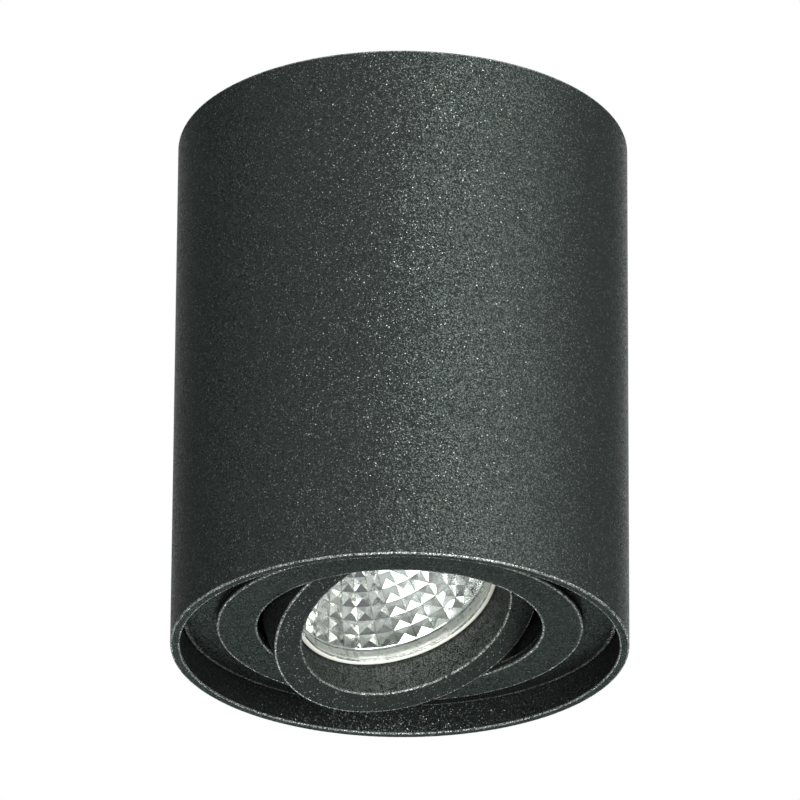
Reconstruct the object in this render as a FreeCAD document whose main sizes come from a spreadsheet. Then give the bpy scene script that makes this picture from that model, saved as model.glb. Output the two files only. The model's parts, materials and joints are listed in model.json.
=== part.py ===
import FreeCAD, Part
import math
import os

import Sketcher

# A surface mounted ceiling spotlight. The ceiling is the plane z = 0, +Z points up into it, and the
# housing tube hangs down to its open rim. The lamp unit is a gimbal: a frame ring is clipped into the
# tube, a swivel ring turns in it about Z, and the lamp ring tilts in the swivel ring on two pins.
# Lengths are in millimetres and angles in degrees. The lamp's bowl is faceted inside.

DIMENSIONS = [
    # housing tube
    ("tube_diameter", 108.0, "outside of the housing tube"),
    ("tube_length", 130.0, "ceiling to the open rim"),
    ("tube_wall", 2.3, "wall of the extruded tube"),
    ("edge_break", 0.3, "bevel on turned edges"),
    ("clip_groove_depth", 0.7, "groove inside the tube that the clips snap into"),
    ("clip_groove_width", 4.4, "height of that groove"),
    # ceiling bracket and what it carries
    ("bracket_plate", 1.5, "steel sheet of the ceiling bracket"),
    ("bracket_clearance", 0.3, "gap between the bracket's edge and the tube"),
    ("slot_spacing", 60.0, "distance between the two ceiling screw slots"),
    ("slot_width", 4.5, "width of a ceiling screw slot"),
    ("slot_length", 14.0, "end to end length of a ceiling screw slot"),
    ("ear_width", 12.0, "width of the bracket's two bent ears"),
    ("ear_drop", 13.0, "how far an ear hangs below the ceiling"),
    ("side_screw_drop", 8.0, "side screws below the ceiling"),
    ("side_screw_diameter", 4.0, "thread of the two side screws"),
    ("side_screw_point", 1.5, "how far a side screw reaches past its ear"),
    ("cable_hole_diameter", 14.0, "hole in the bracket for the supply cable"),
    ("cable_bore_diameter", 8.0, "bore of the cable grommet"),
    ("grommet_flange", 2.5, "how far the grommet's flange covers the bracket"),
    ("grommet_sheet", 2.0, "thickness of that flange"),
    ("grommet_bevel", 0.8, "slope of that flange's edge"),
    ("terminal_offset", 27.0, "terminal block's middle from the tube's axis"),
    ("terminal_pitch", 9.5, "one pole of the terminal block"),
    ("terminal_depth", 17.0, "terminal block along its wire tunnels"),
    ("terminal_height", 13.0, "terminal block below the bracket"),
    ("notch_width", 1.2, "notch between two poles of the block"),
    ("notch_depth", 1.5, "depth of that notch"),
    ("clamp_diameter", 4.8, "outside of a brass clamp"),
    ("clamp_setback", 2.0, "clamp's end inside the block's face"),
    ("tunnel_play", 0.1, "gap round a clamp in its tunnel"),
    ("clamp_bore_diameter", 3.0, "wire bore of a brass clamp"),
    ("clamp_screw_diameter", 2.5, "thread of a clamp screw"),
    ("clamp_screw_spacing", 7.0, "distance between one clamp's two screws"),
    ("clamp_screw_rim", 0.3, "clamp screw's head outside its thread"),
    ("clamp_screw_head", 1.2, "height of that head"),
    ("clamp_screw_stand", 0.8, "gap between that head and its clamp"),
    ("clamp_screw_open", 0.4, "gap between a clamp screw's tip and the clamp's middle"),
    ("well_play", 0.15, "gap round a clamp screw's head in its well"),
    ("block_screw_diameter", 3.0, "thread of the screws that hold the block"),
    ("block_screw_rim", 1.3, "block screw's head outside its thread"),
    ("block_screw_head", 2.0, "height of that head"),
    ("screw_setback", 0.3, "tip of a bracket's screw inside the ceiling face"),
    ("earth_offset", 24.0, "earth screw from the tube's axis"),
    ("earth_screw_diameter", 4.0, "thread of the earth screw"),
    ("earth_screw_head", 2.6, "height of its head"),
    ("earth_washer_sheet", 0.8, "thickness of the earth washer"),
    # frame ring
    ("frame_recess", 7.0, "frame ring's face above the rim"),
    ("frame_clearance", 0.4, "gap between the frame ring and the tube"),
    ("frame_plate", 2.0, "thickness of the frame ring's face plate"),
    ("skirt_height", 10.0, "outer skirt above the face"),
    ("skirt_wall", 2.0, "thickness of the outer skirt"),
    ("sleeve_wall", 2.2, "thickness of the sleeve that the swivel ring turns in"),
    ("sleeve_rise", 5.0, "sleeve's top above the tilt axis"),
    ("clip_width", 8.0, "width of a spring clip"),
    ("clip_sheet", 0.5, "spring steel of a clip"),
    ("clip_reach", 18.5, "clip's bump above the frame ring's face"),
    ("clip_foot", 0.5, "clip's lower end above the face plate"),
    ("clip_knee_rise", 0.6, "clip's bend above the skirt"),
    ("clip_tip_rise", 3.6, "clip's tip above its bump"),
    ("clip_tip_lean", 2.6, "clip's tip inside its bump"),
    ("clip_play", 0.1, "gap between a clip's bump and the groove's floor"),
    ("rivet_diameter", 3.0, "rivet shank"),
    ("rivet_rim", 1.1, "rivet's head outside its shank"),
    ("rivet_head", 0.8, "height of a rivet's head"),
    ("rivet_rise", 6.0, "rivets above the frame ring's face"),
    # swivel ring
    ("swivel_plate", 2.0, "thickness of the swivel ring's flange"),
    ("swivel_cover", 4.4, "how far the flange covers the frame ring"),
    ("running_gap", 0.15, "axial gap between turning faces"),
    ("collar_fit", 0.1, "radial running fit of the collar in the sleeve"),
    ("collar_wall", 2.6, "thickness of the collar"),
    ("collar_setback", 2.7, "collar's bore outside the opening's edge"),
    ("snap_ring_sheet", 1.2, "thickness of the snap ring"),
    ("snap_ring_stand", 1.8, "how far the snap ring stands out of the collar"),
    ("snap_groove_depth", 0.8, "depth of the snap ring's groove"),
    ("snap_opening", 7.0, "gap in the snap ring"),
    ("plier_hole_diameter", 1.4, "holes for the snap ring's pliers"),
    ("plier_hole_inset", 1.6, "those holes from the gap's edges"),
    ("friction_washer_sheet", 1.0, "thickness of the friction washer"),
    ("stop_pin_diameter", 3.0, "the two pins that end the turn"),
    ("stop_rise", 2.7, "swivel ring's stop pin above the snap ring"),
    ("stop_play", 0.1, "frame ring's stop pin outside its sleeve"),
    ("stop_reach", 0.3, "swivel ring's stop pin past the middle of the other"),
    # tilt pivot and lamp ring
    ("pivot_rise", 11.0, "tilt axis above the rim"),
    ("pivot_pin_diameter", 3.0, "tilt pins"),
    ("pin_fit", 0.05, "radial fit of pins and screws in their holes"),
    ("pin_bite", 4.3, "length of a tilt pin inside the lamp ring"),
    ("boss_width", 10.0, "width of the swivel ring's pivot bosses"),
    ("pivot_washer_diameter", 8.0, "washers beside the lamp ring"),
    ("pivot_flat_depth", 0.4, "flat faced into the lamp ring for a washer"),
    ("pivot_flat_margin", 0.3, "that flat outside its washer"),
    ("opening_gap", 1.4, "gap round the lamp ring in the swivel ring"),
    ("ring_wall", 6.7, "wall of the lamp ring"),
    ("ring_front", 5.46, "lamp ring's mouth in front of the tilt axis"),
    ("ring_back", 5.34, "lamp ring's back behind the tilt axis"),
    ("aim_azimuth", -44.0, "direction that the lamp leans towards, from +X"),
    ("rest_tilt", 22.5, "lamp axis away from straight down"),
    # lamp
    ("lamp_diameter", 50.0, "rim of the reflector lamp"),
    ("lamp_clearance", 0.4, "gap round the lamp in its ring"),
    ("lamp_recess", 8.8, "lamp's front behind the lamp ring's mouth"),
    ("glass_inset", 0.95, "reflector's rim outside the cover glass"),
    ("glass_thickness", 2.0, "cover glass"),
    ("glass_fit", 0.1, "gap round the cover glass"),
    ("reflector_wall", 1.4, "reflector's wall at its rim"),
    ("rim_depth", 7.0, "straight rim of the reflector, outside"),
    ("bowl_start", 5.0, "where the facets of the bowl start, behind the front"),
    ("bowl_end", 31.0, "where the bowl meets the lamp base"),
    ("bowl_land", 0.8, "flat bottom of the bowl, in front of the lamp base"),
    ("facet_inset", 0.1, "bowl's first corners inside the smooth band"),
    ("facet_lift", 0.45, "middle of a facet above its corners"),
    ("throat_diameter", 15.4, "hole at the bottom of the bowl"),
    ("throat_margin", 0.3, "bowl's last corners outside that hole"),
    ("neck_wall", 3.8, "reflector's wall at the bottom of the bowl"),
    ("capsule_diameter", 9.0, "quartz capsule"),
    ("capsule_front", 14.0, "capsule's tip behind the front"),
    ("capsule_end", 37.0, "capsule's foot behind the front"),
    ("base_diameter", 26.6, "ceramic base"),
    ("base_end", 47.2, "end of the ceramic base behind the front"),
    ("ceramic_bevel", 1.0, "bevel on the ceramic's edges"),
    ("contact_spacing", 10.0, "distance between the lamp's two contact pins"),
    ("contact_shank_diameter", 3.0, "contact pin's shank"),
    ("contact_head_diameter", 5.0, "contact pin's head"),
    ("contact_root", 3.0, "length of a contact pin inside the base"),
    ("contact_shank", 4.5, "length of a contact pin's shank"),
    ("contact_head", 2.5, "length of a contact pin's head"),
    # lampholder and its bridge
    ("holder_diameter", 26.0, "ceramic lampholder"),
    ("holder_height", 14.0, "ceramic lampholder along the lamp axis"),
    ("holder_gap", 0.2, "lamp base in front of the lampholder"),
    ("slot_play", 0.3, "play of the contact pins in their slots"),
    ("twist", 25.0, "turn that locks the lamp in its holder"),
    ("holder_cover_sheet", 1.2, "insulating plate behind the lampholder"),
    ("holder_screw_spacing", 18.0, "distance between the lampholder's screws"),
    ("holder_screw_diameter", 3.0, "thread of the lampholder's screws"),
    ("holder_screw_head", 2.2, "height of their heads"),
    ("holder_screw_rim", 1.1, "those heads outside the thread"),
    ("holder_screw_reach", 0.5, "their tips behind the bridge"),
    ("holder_sink_cover", 0.4, "those heads below the lampholder's face"),
    ("holder_sink_play", 0.1, "gap round those heads"),
    ("leaf_sheet", 0.5, "brass of a contact leaf"),
    ("leaf_gap", 0.1, "contact leaf from its pin"),
    ("bridge_sheet", 1.2, "steel strip of the bridge"),
    ("bridge_width", 10.0, "width of that strip"),
    ("bridge_tail", 14.0, "half of the bridge's inside width behind the holder"),
    ("bridge_shoulder", 12.0, "where the bridge's legs start to lean in, behind the tilt axis"),
    ("bridge_foot", 5.5, "length of a foot, from the leg's inner face"),
    ("bridge_inset", 0.5, "leg's inner face outside the lamp ring's bore"),
    ("bridge_screw_diameter", 2.0, "thread of the screws in the lamp ring"),
    ("bridge_screw_head", 1.4, "height of their heads"),
    ("bridge_screw_wall", 0.6, "metal between such a screw's tip and the tilt pin"),
]

FACETS_ROUND = 32
FACET_ROWS = 8
FACET_PHASE = 2.8
THROUGH = 1.0
SIDES = (-1, 1)
FACING = {-1: 180, 1: 0}
NODES = []

doc = FreeCAD.newDocument("ceiling_spotlight")


class Size:
    """A size of the sheet, or one worked out from others, with the formula that ties it to them."""

    def __init__(self, value, formula):
        self.value = value
        self.formula = formula

    def __add__(self, other):
        return joined(self, "+", other)

    def __radd__(self, other):
        return joined(other, "+", self)

    def __sub__(self, other):
        return joined(self, "-", other)

    def __rsub__(self, other):
        return joined(other, "-", self)

    def __mul__(self, other):
        return joined(self, "*", other)

    def __rmul__(self, other):
        return joined(other, "*", self)

    def __truediv__(self, other):
        return joined(self, "/", other)

    def __neg__(self):
        return joined(0, "-", self)

    def root(self):
        return Size(self.value ** 0.5, "sqrt(%s)" % self.formula)


def size(number):
    """A plain number as a Size, and a Size as it is."""
    return number if isinstance(number, Size) else Size(float(number), repr(float(number)))


def joined(left, sign, right):
    left = size(left)
    right = size(right)
    results = {
        "+": lambda: left.value + right.value,
        "-": lambda: left.value - right.value,
        "*": lambda: left.value * right.value,
        "/": lambda: left.value / right.value,
    }
    return Size(results[sign](), "(%s %s %s)" % (left.formula, sign, right.formula))


class Sheet:
    """The spreadsheet, with one Size for each of its aliases."""

    def __init__(self, rows):
        cells = doc.addObject("Spreadsheet::Sheet", "Sizes")
        for row, (alias, value, meaning) in enumerate(rows, start=1):
            cells.set("A%d" % row, meaning)
            cells.set("B%d" % row, str(value))
            cells.setAlias("B%d" % row, alias)
        doc.recompute()
        for alias, value, meaning in rows:
            setattr(self, alias, Size(float(cells.get(alias)), "Sizes." + alias))


def bind(thing, prop, length):
    """Ties one property of an object to the sheet."""
    thing.setExpression(prop, size(length).formula)


DIRECTIONS = {"z": (0, 0, 0), "x": (0, 90, 0), "y": (0, 0, -90), "down": (0, 0, 180)}
ORIGIN = (0, 0, 0)


def spot(point=ORIGIN, angles=(0, 0, 0)):
    """Formula of a placement: a point, and a turn given as yaw, pitch and roll."""
    x, y, z = (size(number).formula for number in point)
    yaw, pitch, roll = (size(number).formula for number in angles)
    vector = "create(<<vector>>; %s; %s; %s)" % (x, y, z)
    rotation = "create(<<rotation>>; %s; %s; %s)" % (yaw, pitch, roll)
    return "create(<<placement>>; %s; %s)" % (vector, rotation)


def put(thing, point=ORIGIN, along="z", turn=0):
    """Places a tool or piece: its Z axis along a direction, then the whole turned about Z."""
    thing.setExpression("Placement", spot(angles=(turn, 0, 0)) + " * " + spot(point, DIRECTIONS[along]))
    return thing


def cylinder(name, radius, length, point=ORIGIN, along="z", turn=0):
    made = doc.addObject("Part::Cylinder", name)
    bind(made, "Radius", radius)
    bind(made, "Height", length)
    return put(made, point, along, turn)


def box(name, lengths, corner=ORIGIN, turn=0):
    made = doc.addObject("Part::Box", name)
    for prop, length in zip(("Length", "Width", "Height"), lengths):
        bind(made, prop, length)
    return put(made, corner, "z", turn)


def fused(name, parts):
    made = doc.addObject("Part::MultiFuse", name)
    made.Shapes = parts
    return made


def cut(name, base, tools):
    made = doc.addObject("Part::Cut", name)
    made.Base = base
    made.Tool = tools[0] if len(tools) == 1 else fused(name + "_tools", tools)
    return made


def group(name, members):
    """Like pieces in one node, each a solid of its own."""
    made = doc.addObject("Part::Compound", name)
    made.Links = members
    return made


def outline(body, name, corners):
    """A closed outline in the XZ plane from its corners (x, z), each held by two bound lengths.

    A corner with a third entry, a point, starts an arc through that point to the next corner."""
    sketch = body.newObject("Sketcher::SketchObject", name)
    plane = next(item for item in body.Origin.OriginFeatures if item.Role == "XZ_Plane")
    sketch.AttachmentSupport = [(plane, "")]
    sketch.MapMode = "FlatFace"
    places = [FreeCAD.Vector(size(corner[0]).value, size(corner[1]).value, 0) for corner in corners]
    ends = []
    for index, corner in enumerate(corners):
        start = places[index]
        finish = places[(index + 1) % len(places)]
        if len(corner) == 3:
            middle = FreeCAD.Vector(corner[2][0].value, corner[2][1].value, 0)
            arc = Part.Arc(start, middle, finish)
            anticlockwise = arc.toShape().Curve.Axis.z > 0
            sketch.addGeometry(arc if anticlockwise else Part.Arc(finish, middle, start))
            ends.append((1, 2) if anticlockwise else (2, 1))
        else:
            sketch.addGeometry(Part.LineSegment(start, finish))
            ends.append((1, 2))

    def hold(kind, geometry, vertex, length):
        length = size(length)
        number = sketch.addConstraint(Sketcher.Constraint(kind, -1, 1, geometry, vertex, length.value))
        sketch.setExpression("Constraints[%d]" % number, length.formula)

    for index, corner in enumerate(corners):
        following = (index + 1) % len(corners)
        sketch.addConstraint(
            Sketcher.Constraint("Coincident", index, ends[index][1], following, ends[following][0]))
        hold("DistanceX", index, ends[index][0], corner[0])
        hold("DistanceY", index, ends[index][0], corner[1])
    for index, corner in enumerate(corners):
        if len(corner) == 3:
            middle = FreeCAD.Vector(corner[2][0].value, corner[2][1].value, 0)
            point = sketch.addGeometry(Part.Point(middle), True)
            sketch.addConstraint(Sketcher.Constraint("PointOnObject", point, 1, index))
            hold("DistanceX", point, 1, corner[2][0])
            hold("DistanceY", point, 1, corner[2][1])
    return sketch


def turned(name, corners):
    """A piece turned about its own Z axis: the corners are (radius, height) round its half section."""
    body = doc.addObject("PartDesign::Body", name)
    sketch = outline(body, name + "_section", corners)
    feature = body.newObject("PartDesign::Revolution", name + "_turning")
    feature.Profile = (sketch, [""])
    feature.ReferenceAxis = (sketch, ["V_Axis"])
    feature.Angle = 360
    return body


def strip(name, corners, width):
    """A bent strip: the corners are (x, z) round its edge, and its width lies evenly about y = 0."""
    body = doc.addObject("PartDesign::Body", name)
    sketch = outline(body, name + "_edge", corners)
    feature = body.newObject("PartDesign::Pad", name + "_pad")
    feature.Profile = (sketch, [""])
    feature.SideType = "Symmetric"
    bind(feature, "Length", width)
    return body


def screw(name, shank_radius, shank, head_radius, head):
    """A plain screw: its head's seat is the plane z = 0 and the shank runs up from there."""
    return turned(name, [
        (0, -head), (head_radius, -head), (head_radius, 0), (shank_radius, 0), (shank_radius, shank), (0, shank)])


def node(piece, label, seat=None):
    """Names a finished piece as a node, moved from its own axes to its seat in the lamp."""
    piece.Label = label
    if seat is not None:
        piece.setExpression("Placement", seat)
    NODES.append(piece)
    return piece


d = Sheet(DIMENSIONS)

# ------------------------------------------------------------------ heights and radii
tube_radius = d.tube_diameter / 2
tube_bore = tube_radius - d.tube_wall
rim = -d.tube_length
pivot_z = rim + d.pivot_rise

frame_face = rim + d.frame_recess
frame_top = frame_face + d.frame_plate
frame_radius = tube_bore - d.frame_clearance
skirt_bore = frame_radius - d.skirt_wall
skirt_top = frame_face + d.skirt_height

lamp_radius = d.lamp_diameter / 2
ring_bore = lamp_radius + d.lamp_clearance
ring_radius = ring_bore + d.ring_wall
opening_radius = ring_radius + d.opening_gap
collar_bore = opening_radius + d.collar_setback
collar_radius = collar_bore + d.collar_wall
swivel_radius = collar_radius + d.swivel_cover
swivel_back = frame_face - d.running_gap
swivel_face = swivel_back - d.swivel_plate

sleeve_bore = collar_radius + d.collar_fit
sleeve_radius = sleeve_bore + d.sleeve_wall
sleeve_top = pivot_z + d.sleeve_rise
sheet_gap = d.running_gap / 3
washer_bottom = sleeve_top + sheet_gap
snap_bottom = washer_bottom + d.friction_washer_sheet + sheet_gap
snap_top = snap_bottom + d.snap_ring_sheet
stop_radius = d.stop_pin_diameter / 2
stop_z = snap_top + d.stop_rise
collar_top = stop_z + d.stop_pin_diameter * 0.85
stop_boss_radius = d.stop_pin_diameter
stop_circle = sleeve_radius + stop_radius + d.stop_play

pivot_radius = d.pivot_pin_diameter / 2
pivot_flat = ring_radius - d.pivot_flat_depth
washer_radius = d.pivot_washer_diameter / 2

swing_turn = d.aim_azimuth + 90
ON_SWIVEL = spot(angles=(swing_turn, 0, 0))
ON_LAMP = spot((0, 0, pivot_z), (swing_turn, 0, 180 - d.rest_tilt))

# ------------------------------------------------------------------ housing tube
groove_radius = tube_bore + d.clip_groove_depth
groove_middle = frame_face + d.clip_reach
groove_top = groove_middle + d.clip_groove_width / 2
groove_bottom = groove_middle - d.clip_groove_width / 2

tube = turned("tube", [
    (tube_bore + d.edge_break, 0), (tube_radius - d.edge_break, 0), (tube_radius, -d.edge_break),
    (tube_radius, rim + d.edge_break), (tube_radius - d.edge_break, rim),
    (tube_bore + d.edge_break, rim), (tube_bore, rim + d.edge_break),
    (tube_bore, groove_bottom), (groove_radius, groove_bottom),
    (groove_radius, groove_top), (tube_bore, groove_top), (tube_bore, -d.edge_break)])
side_screw_hole = cylinder(
    "side_screw_hole", d.side_screw_diameter / 2 + d.pin_fit, d.tube_diameter + 2 * THROUGH,
    (-tube_radius - THROUGH, 0, -d.side_screw_drop), "x")
node(cut("tube_drilled", tube, [side_screw_hole]), "tube_housing")

# ------------------------------------------------------------------ ceiling bracket
bracket_radius = tube_bore - d.bracket_clearance
ear_face = (bracket_radius * bracket_radius - d.ear_width * d.ear_width / 4).root()
bracket_underside = -d.bracket_plate


def slot(name, middle_x):
    """An upright tool with round ends for one ceiling screw slot, long along X."""
    half_width = d.slot_width / 2
    straight = d.slot_length - d.slot_width
    low = bracket_underside - THROUGH
    tall = d.bracket_plate + 2 * THROUGH
    ends = [
        cylinder("%s_end_%d" % (name, side), half_width, tall, (middle_x + straight / 2 * side, 0, low))
        for side in SIDES]
    middle = box(name + "_middle", (straight, d.slot_width, tall), (middle_x - straight / 2, -half_width, low))
    return fused(name, [middle] + ends)


plate = cylinder("bracket_disc", bracket_radius, d.bracket_plate, (0, 0, bracket_underside))
ears = [
    box("bracket_ear_%d" % side, (d.bracket_plate, d.ear_width, d.ear_drop),
        ((ear_face - d.bracket_plate / 2) * side - d.bracket_plate / 2, -d.ear_width / 2, -d.ear_drop))
    for side in SIDES]
block_y = d.terminal_offset
block_screw_radius = d.block_screw_diameter / 2
bracket_tools = [
    slot("slot_left", -d.slot_spacing / 2),
    slot("slot_right", d.slot_spacing / 2),
    cylinder("cable_hole", d.cable_hole_diameter / 2, d.bracket_plate + 2 * THROUGH,
             (0, 0, bracket_underside - THROUGH)),
    cylinder("earth_hole", d.earth_screw_diameter / 2 + d.pin_fit, d.bracket_plate + 2 * THROUGH,
             (0, -d.earth_offset, bracket_underside - THROUGH)),
    cylinder("dog_hole", d.side_screw_diameter / 2 + d.pin_fit, d.tube_diameter,
             (-tube_radius, 0, -d.side_screw_drop), "x")]
for side in SIDES:
    bracket_tools.append(cylinder(
        "block_hole_%d" % side, block_screw_radius + d.pin_fit, d.bracket_plate + 2 * THROUGH,
        (d.terminal_pitch / 2 * side, block_y, bracket_underside - THROUGH)))
node(cut("bracket_cut", fused("bracket_blank", [plate] + ears), bracket_tools), "ceiling_bracket")

side_screws = []
side_screw_radius = d.side_screw_diameter / 2
side_screw_end = ear_face - d.bracket_plate - d.side_screw_point
side_screw_head = tube_radius - d.edge_break
for side in SIDES:
    name = "side_screw_%d" % side
    grub = turned(name, [
        (0, side_screw_end), (side_screw_radius * 0.7, side_screw_end),
        (side_screw_radius, side_screw_end + side_screw_radius * 0.4),
        (side_screw_radius, side_screw_head), (side_screw_radius * 0.55, side_screw_head),
        (side_screw_radius * 0.55, side_screw_head - side_screw_radius),
        (0, side_screw_head - side_screw_radius)])
    side_screws.append(put(grub, (0, 0, -d.side_screw_drop), "x", FACING[side]))
node(group("side_screw_pair", side_screws), "side_screws")

grommet_outer = d.cable_hole_diameter / 2 - d.pin_fit * 2
grommet_flange_radius = d.cable_hole_diameter / 2 + d.grommet_flange
grommet_bore = d.cable_bore_diameter / 2
grommet_foot = bracket_underside - d.grommet_sheet
node(turned("grommet", [
    (grommet_bore, -d.edge_break), (grommet_outer, -d.edge_break), (grommet_outer, bracket_underside),
    (grommet_flange_radius, bracket_underside), (grommet_flange_radius - d.grommet_bevel, grommet_foot),
    (grommet_bore, grommet_foot)]), "cable_grommet")

# ------------------------------------------------------------------ terminal block
POLES = (-1, 0, 1)
block_bottom = bracket_underside - d.terminal_height
tunnel_z = bracket_underside - d.terminal_height / 2
tunnel_radius = d.clamp_diameter / 2 + d.tunnel_play
clamp_length = d.terminal_depth - d.clamp_setback * 2
clamp_screw_radius = d.clamp_screw_diameter / 2
clamp_head_radius = clamp_screw_radius + d.clamp_screw_rim
block_tools = []
clamps = []
clamp_screws = []
for pole in POLES:
    pole_x = d.terminal_pitch * pole
    block_tools.append(cylinder("tunnel_%d" % pole, tunnel_radius, d.terminal_depth + 2 * THROUGH,
                                (pole_x, block_y - d.terminal_depth / 2 - THROUGH, tunnel_z), "y"))
    solid_clamp = cylinder("clamp_bar_%d" % pole, d.clamp_diameter / 2, clamp_length,
                           (pole_x, block_y - clamp_length / 2, tunnel_z), "y")
    clamp_tools = [cylinder("clamp_bore_%d" % pole, d.clamp_bore_diameter / 2, clamp_length + 2 * THROUGH,
                            (pole_x, block_y - clamp_length / 2 - THROUGH, tunnel_z), "y")]
    for side in SIDES:
        name = "%d_%d" % (pole, side)
        screw_y = block_y + d.clamp_screw_spacing / 2 * side
        block_tools.append(cylinder("well_" + name, clamp_head_radius + d.well_play, d.terminal_height / 2,
                                    (pole_x, screw_y, block_bottom - THROUGH)))
        clamp_tools.append(cylinder("clamp_hole_" + name, clamp_screw_radius + d.pin_fit,
                                    d.clamp_diameter, (pole_x, screw_y, tunnel_z - d.clamp_diameter)))
        seat_z = tunnel_z - d.clamp_diameter / 2 - d.clamp_screw_stand
        clamp_screw = screw("clamp_screw_" + name, clamp_screw_radius, tunnel_z - d.clamp_screw_open - seat_z,
                            clamp_head_radius, d.clamp_screw_head)
        clamp_screws.append(put(clamp_screw, (pole_x, screw_y, seat_z)))
    clamps.append(cut("clamp_%d" % pole, solid_clamp, clamp_tools))
for side in SIDES:
    block_tools.append(cylinder(
        "block_bore_%d" % side, block_screw_radius + d.pin_fit, d.terminal_height + 2 * THROUGH,
        (d.terminal_pitch / 2 * side, block_y, block_bottom - THROUGH)))
    block_tools.append(box(
        "block_notch_%d" % side, (d.notch_width, d.terminal_depth + 2 * THROUGH, d.notch_depth + THROUGH),
        (d.terminal_pitch / 2 * side - d.notch_width / 2, block_y - d.terminal_depth / 2 - THROUGH,
         block_bottom - THROUGH)))
block_blank = box("block_blank", (d.terminal_pitch * 3, d.terminal_depth, d.terminal_height),
                  (-d.terminal_pitch * 1.5, block_y - d.terminal_depth / 2, block_bottom))
node(cut("block_cut", block_blank, block_tools), "terminal_block")
node(group("clamp_set", clamps), "terminal_clamps")
node(group("clamp_screw_set", clamp_screws), "terminal_screws")
node(group("block_screw_pair", [
    put(screw("block_screw_%d" % side, block_screw_radius,
              d.terminal_height + d.bracket_plate - d.screw_setback,
              block_screw_radius + d.block_screw_rim, d.block_screw_head),
        (d.terminal_pitch / 2 * side, block_y, block_bottom))
    for side in SIDES]), "block_screws")

earth_radius = d.earth_screw_diameter / 2
earth_spot = (0, -d.earth_offset, bracket_underside - d.earth_washer_sheet)
node(put(turned("earth_washer_ring", [
    (earth_radius + d.pin_fit, 0), (earth_radius * 2.2, 0), (earth_radius * 2.2, d.earth_washer_sheet),
    (earth_radius + d.pin_fit, d.earth_washer_sheet)]), earth_spot), "earth_washer")
node(put(screw("earth_bolt", earth_radius, d.bracket_plate + d.earth_washer_sheet - d.screw_setback,
               earth_radius * 1.9, d.earth_screw_head), earth_spot), "earth_screw")

# ------------------------------------------------------------------ frame ring and its clips
CLIP_TURNS = (30, 150, 270)
half_clip = d.clip_width / 2
clip_face = (skirt_bore * skirt_bore - half_clip * half_clip).root() - sheet_gap
bump_radius = groove_radius - d.clip_play
clip_bump = (bump_radius * bump_radius - half_clip * half_clip).root()
clip_low = frame_top + d.clip_foot
clip_knee = skirt_top + d.clip_knee_rise
clip_tip = groove_middle + d.clip_tip_rise
clip_tip_face = clip_bump - d.clip_tip_lean
rivet_radius = d.rivet_diameter / 2
rivet_z = frame_face + d.rivet_rise

frame_profile = turned("frame_profile", [
    (sleeve_bore, frame_face), (frame_radius - d.edge_break, frame_face),
    (frame_radius, frame_face + d.edge_break), (frame_radius, skirt_top), (skirt_bore, skirt_top),
    (skirt_bore, frame_top), (sleeve_radius, frame_top), (sleeve_radius, sleeve_top),
    (sleeve_bore, sleeve_top)])
stop_boss = cylinder("stop_boss", stop_boss_radius, sleeve_top - frame_face - d.frame_plate / 2,
                     (0, stop_circle, frame_face + d.frame_plate / 2))
boss_bore = cylinder("boss_bore", sleeve_bore + d.sleeve_wall / 2, d.skirt_height * 3,
                     (0, 0, frame_face - d.skirt_height))
frame_tools = [cylinder("stop_pin_hole", stop_radius + d.pin_fit / 2, sleeve_top - frame_top + THROUGH,
                        (0, stop_circle, frame_top))]
clips = []
rivets = []
for turn in CLIP_TURNS:
    rivet_start = clip_face - d.clip_sheet
    frame_tools.append(cylinder("rivet_hole_%d" % turn, rivet_radius + d.pin_fit, d.skirt_wall + 2 * THROUGH,
                                (skirt_bore - THROUGH, 0, rivet_z), "x", turn))
    leaf = strip("leaf_%d" % turn, [
        (clip_face, clip_low), (clip_face, clip_knee), (clip_bump, groove_middle),
        (clip_tip_face, clip_tip), (clip_tip_face - d.clip_sheet, clip_tip - d.clip_sheet * 0.6),
        (clip_bump - d.clip_sheet * 1.3, groove_middle), (rivet_start, clip_knee + d.clip_sheet * 0.2),
        (rivet_start, clip_low)], d.clip_width)
    leaf_hole = cylinder("leaf_hole_%d" % turn, rivet_radius + d.pin_fit, d.clip_sheet + 2 * THROUGH,
                         (rivet_start - THROUGH, 0, rivet_z), "x")
    clips.append(put(cut("clip_%d" % turn, leaf, [leaf_hole]), turn=turn))
    rivets.append(put(screw("rivet_%d" % turn, rivet_radius, frame_radius - rivet_start - d.edge_break,
                            rivet_radius + d.rivet_rim, d.rivet_head), (rivet_start, 0, rivet_z), "x", turn))
frame_blank = fused("frame_blank", [frame_profile, cut("stop_boss_trimmed", stop_boss, [boss_bore])])
node(cut("frame_drilled", frame_blank, frame_tools), "frame_ring", ON_SWIVEL)
node(group("clip_set", clips), "spring_clips", ON_SWIVEL)
node(group("rivet_set", rivets), "clip_rivets", ON_SWIVEL)
frame_pin = cylinder("frame_pin", stop_radius, stop_z + stop_radius - frame_top, (0, stop_circle, frame_top))
node(group("frame_pin_set", [frame_pin]), "frame_stop_pin", ON_SWIVEL)

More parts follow.
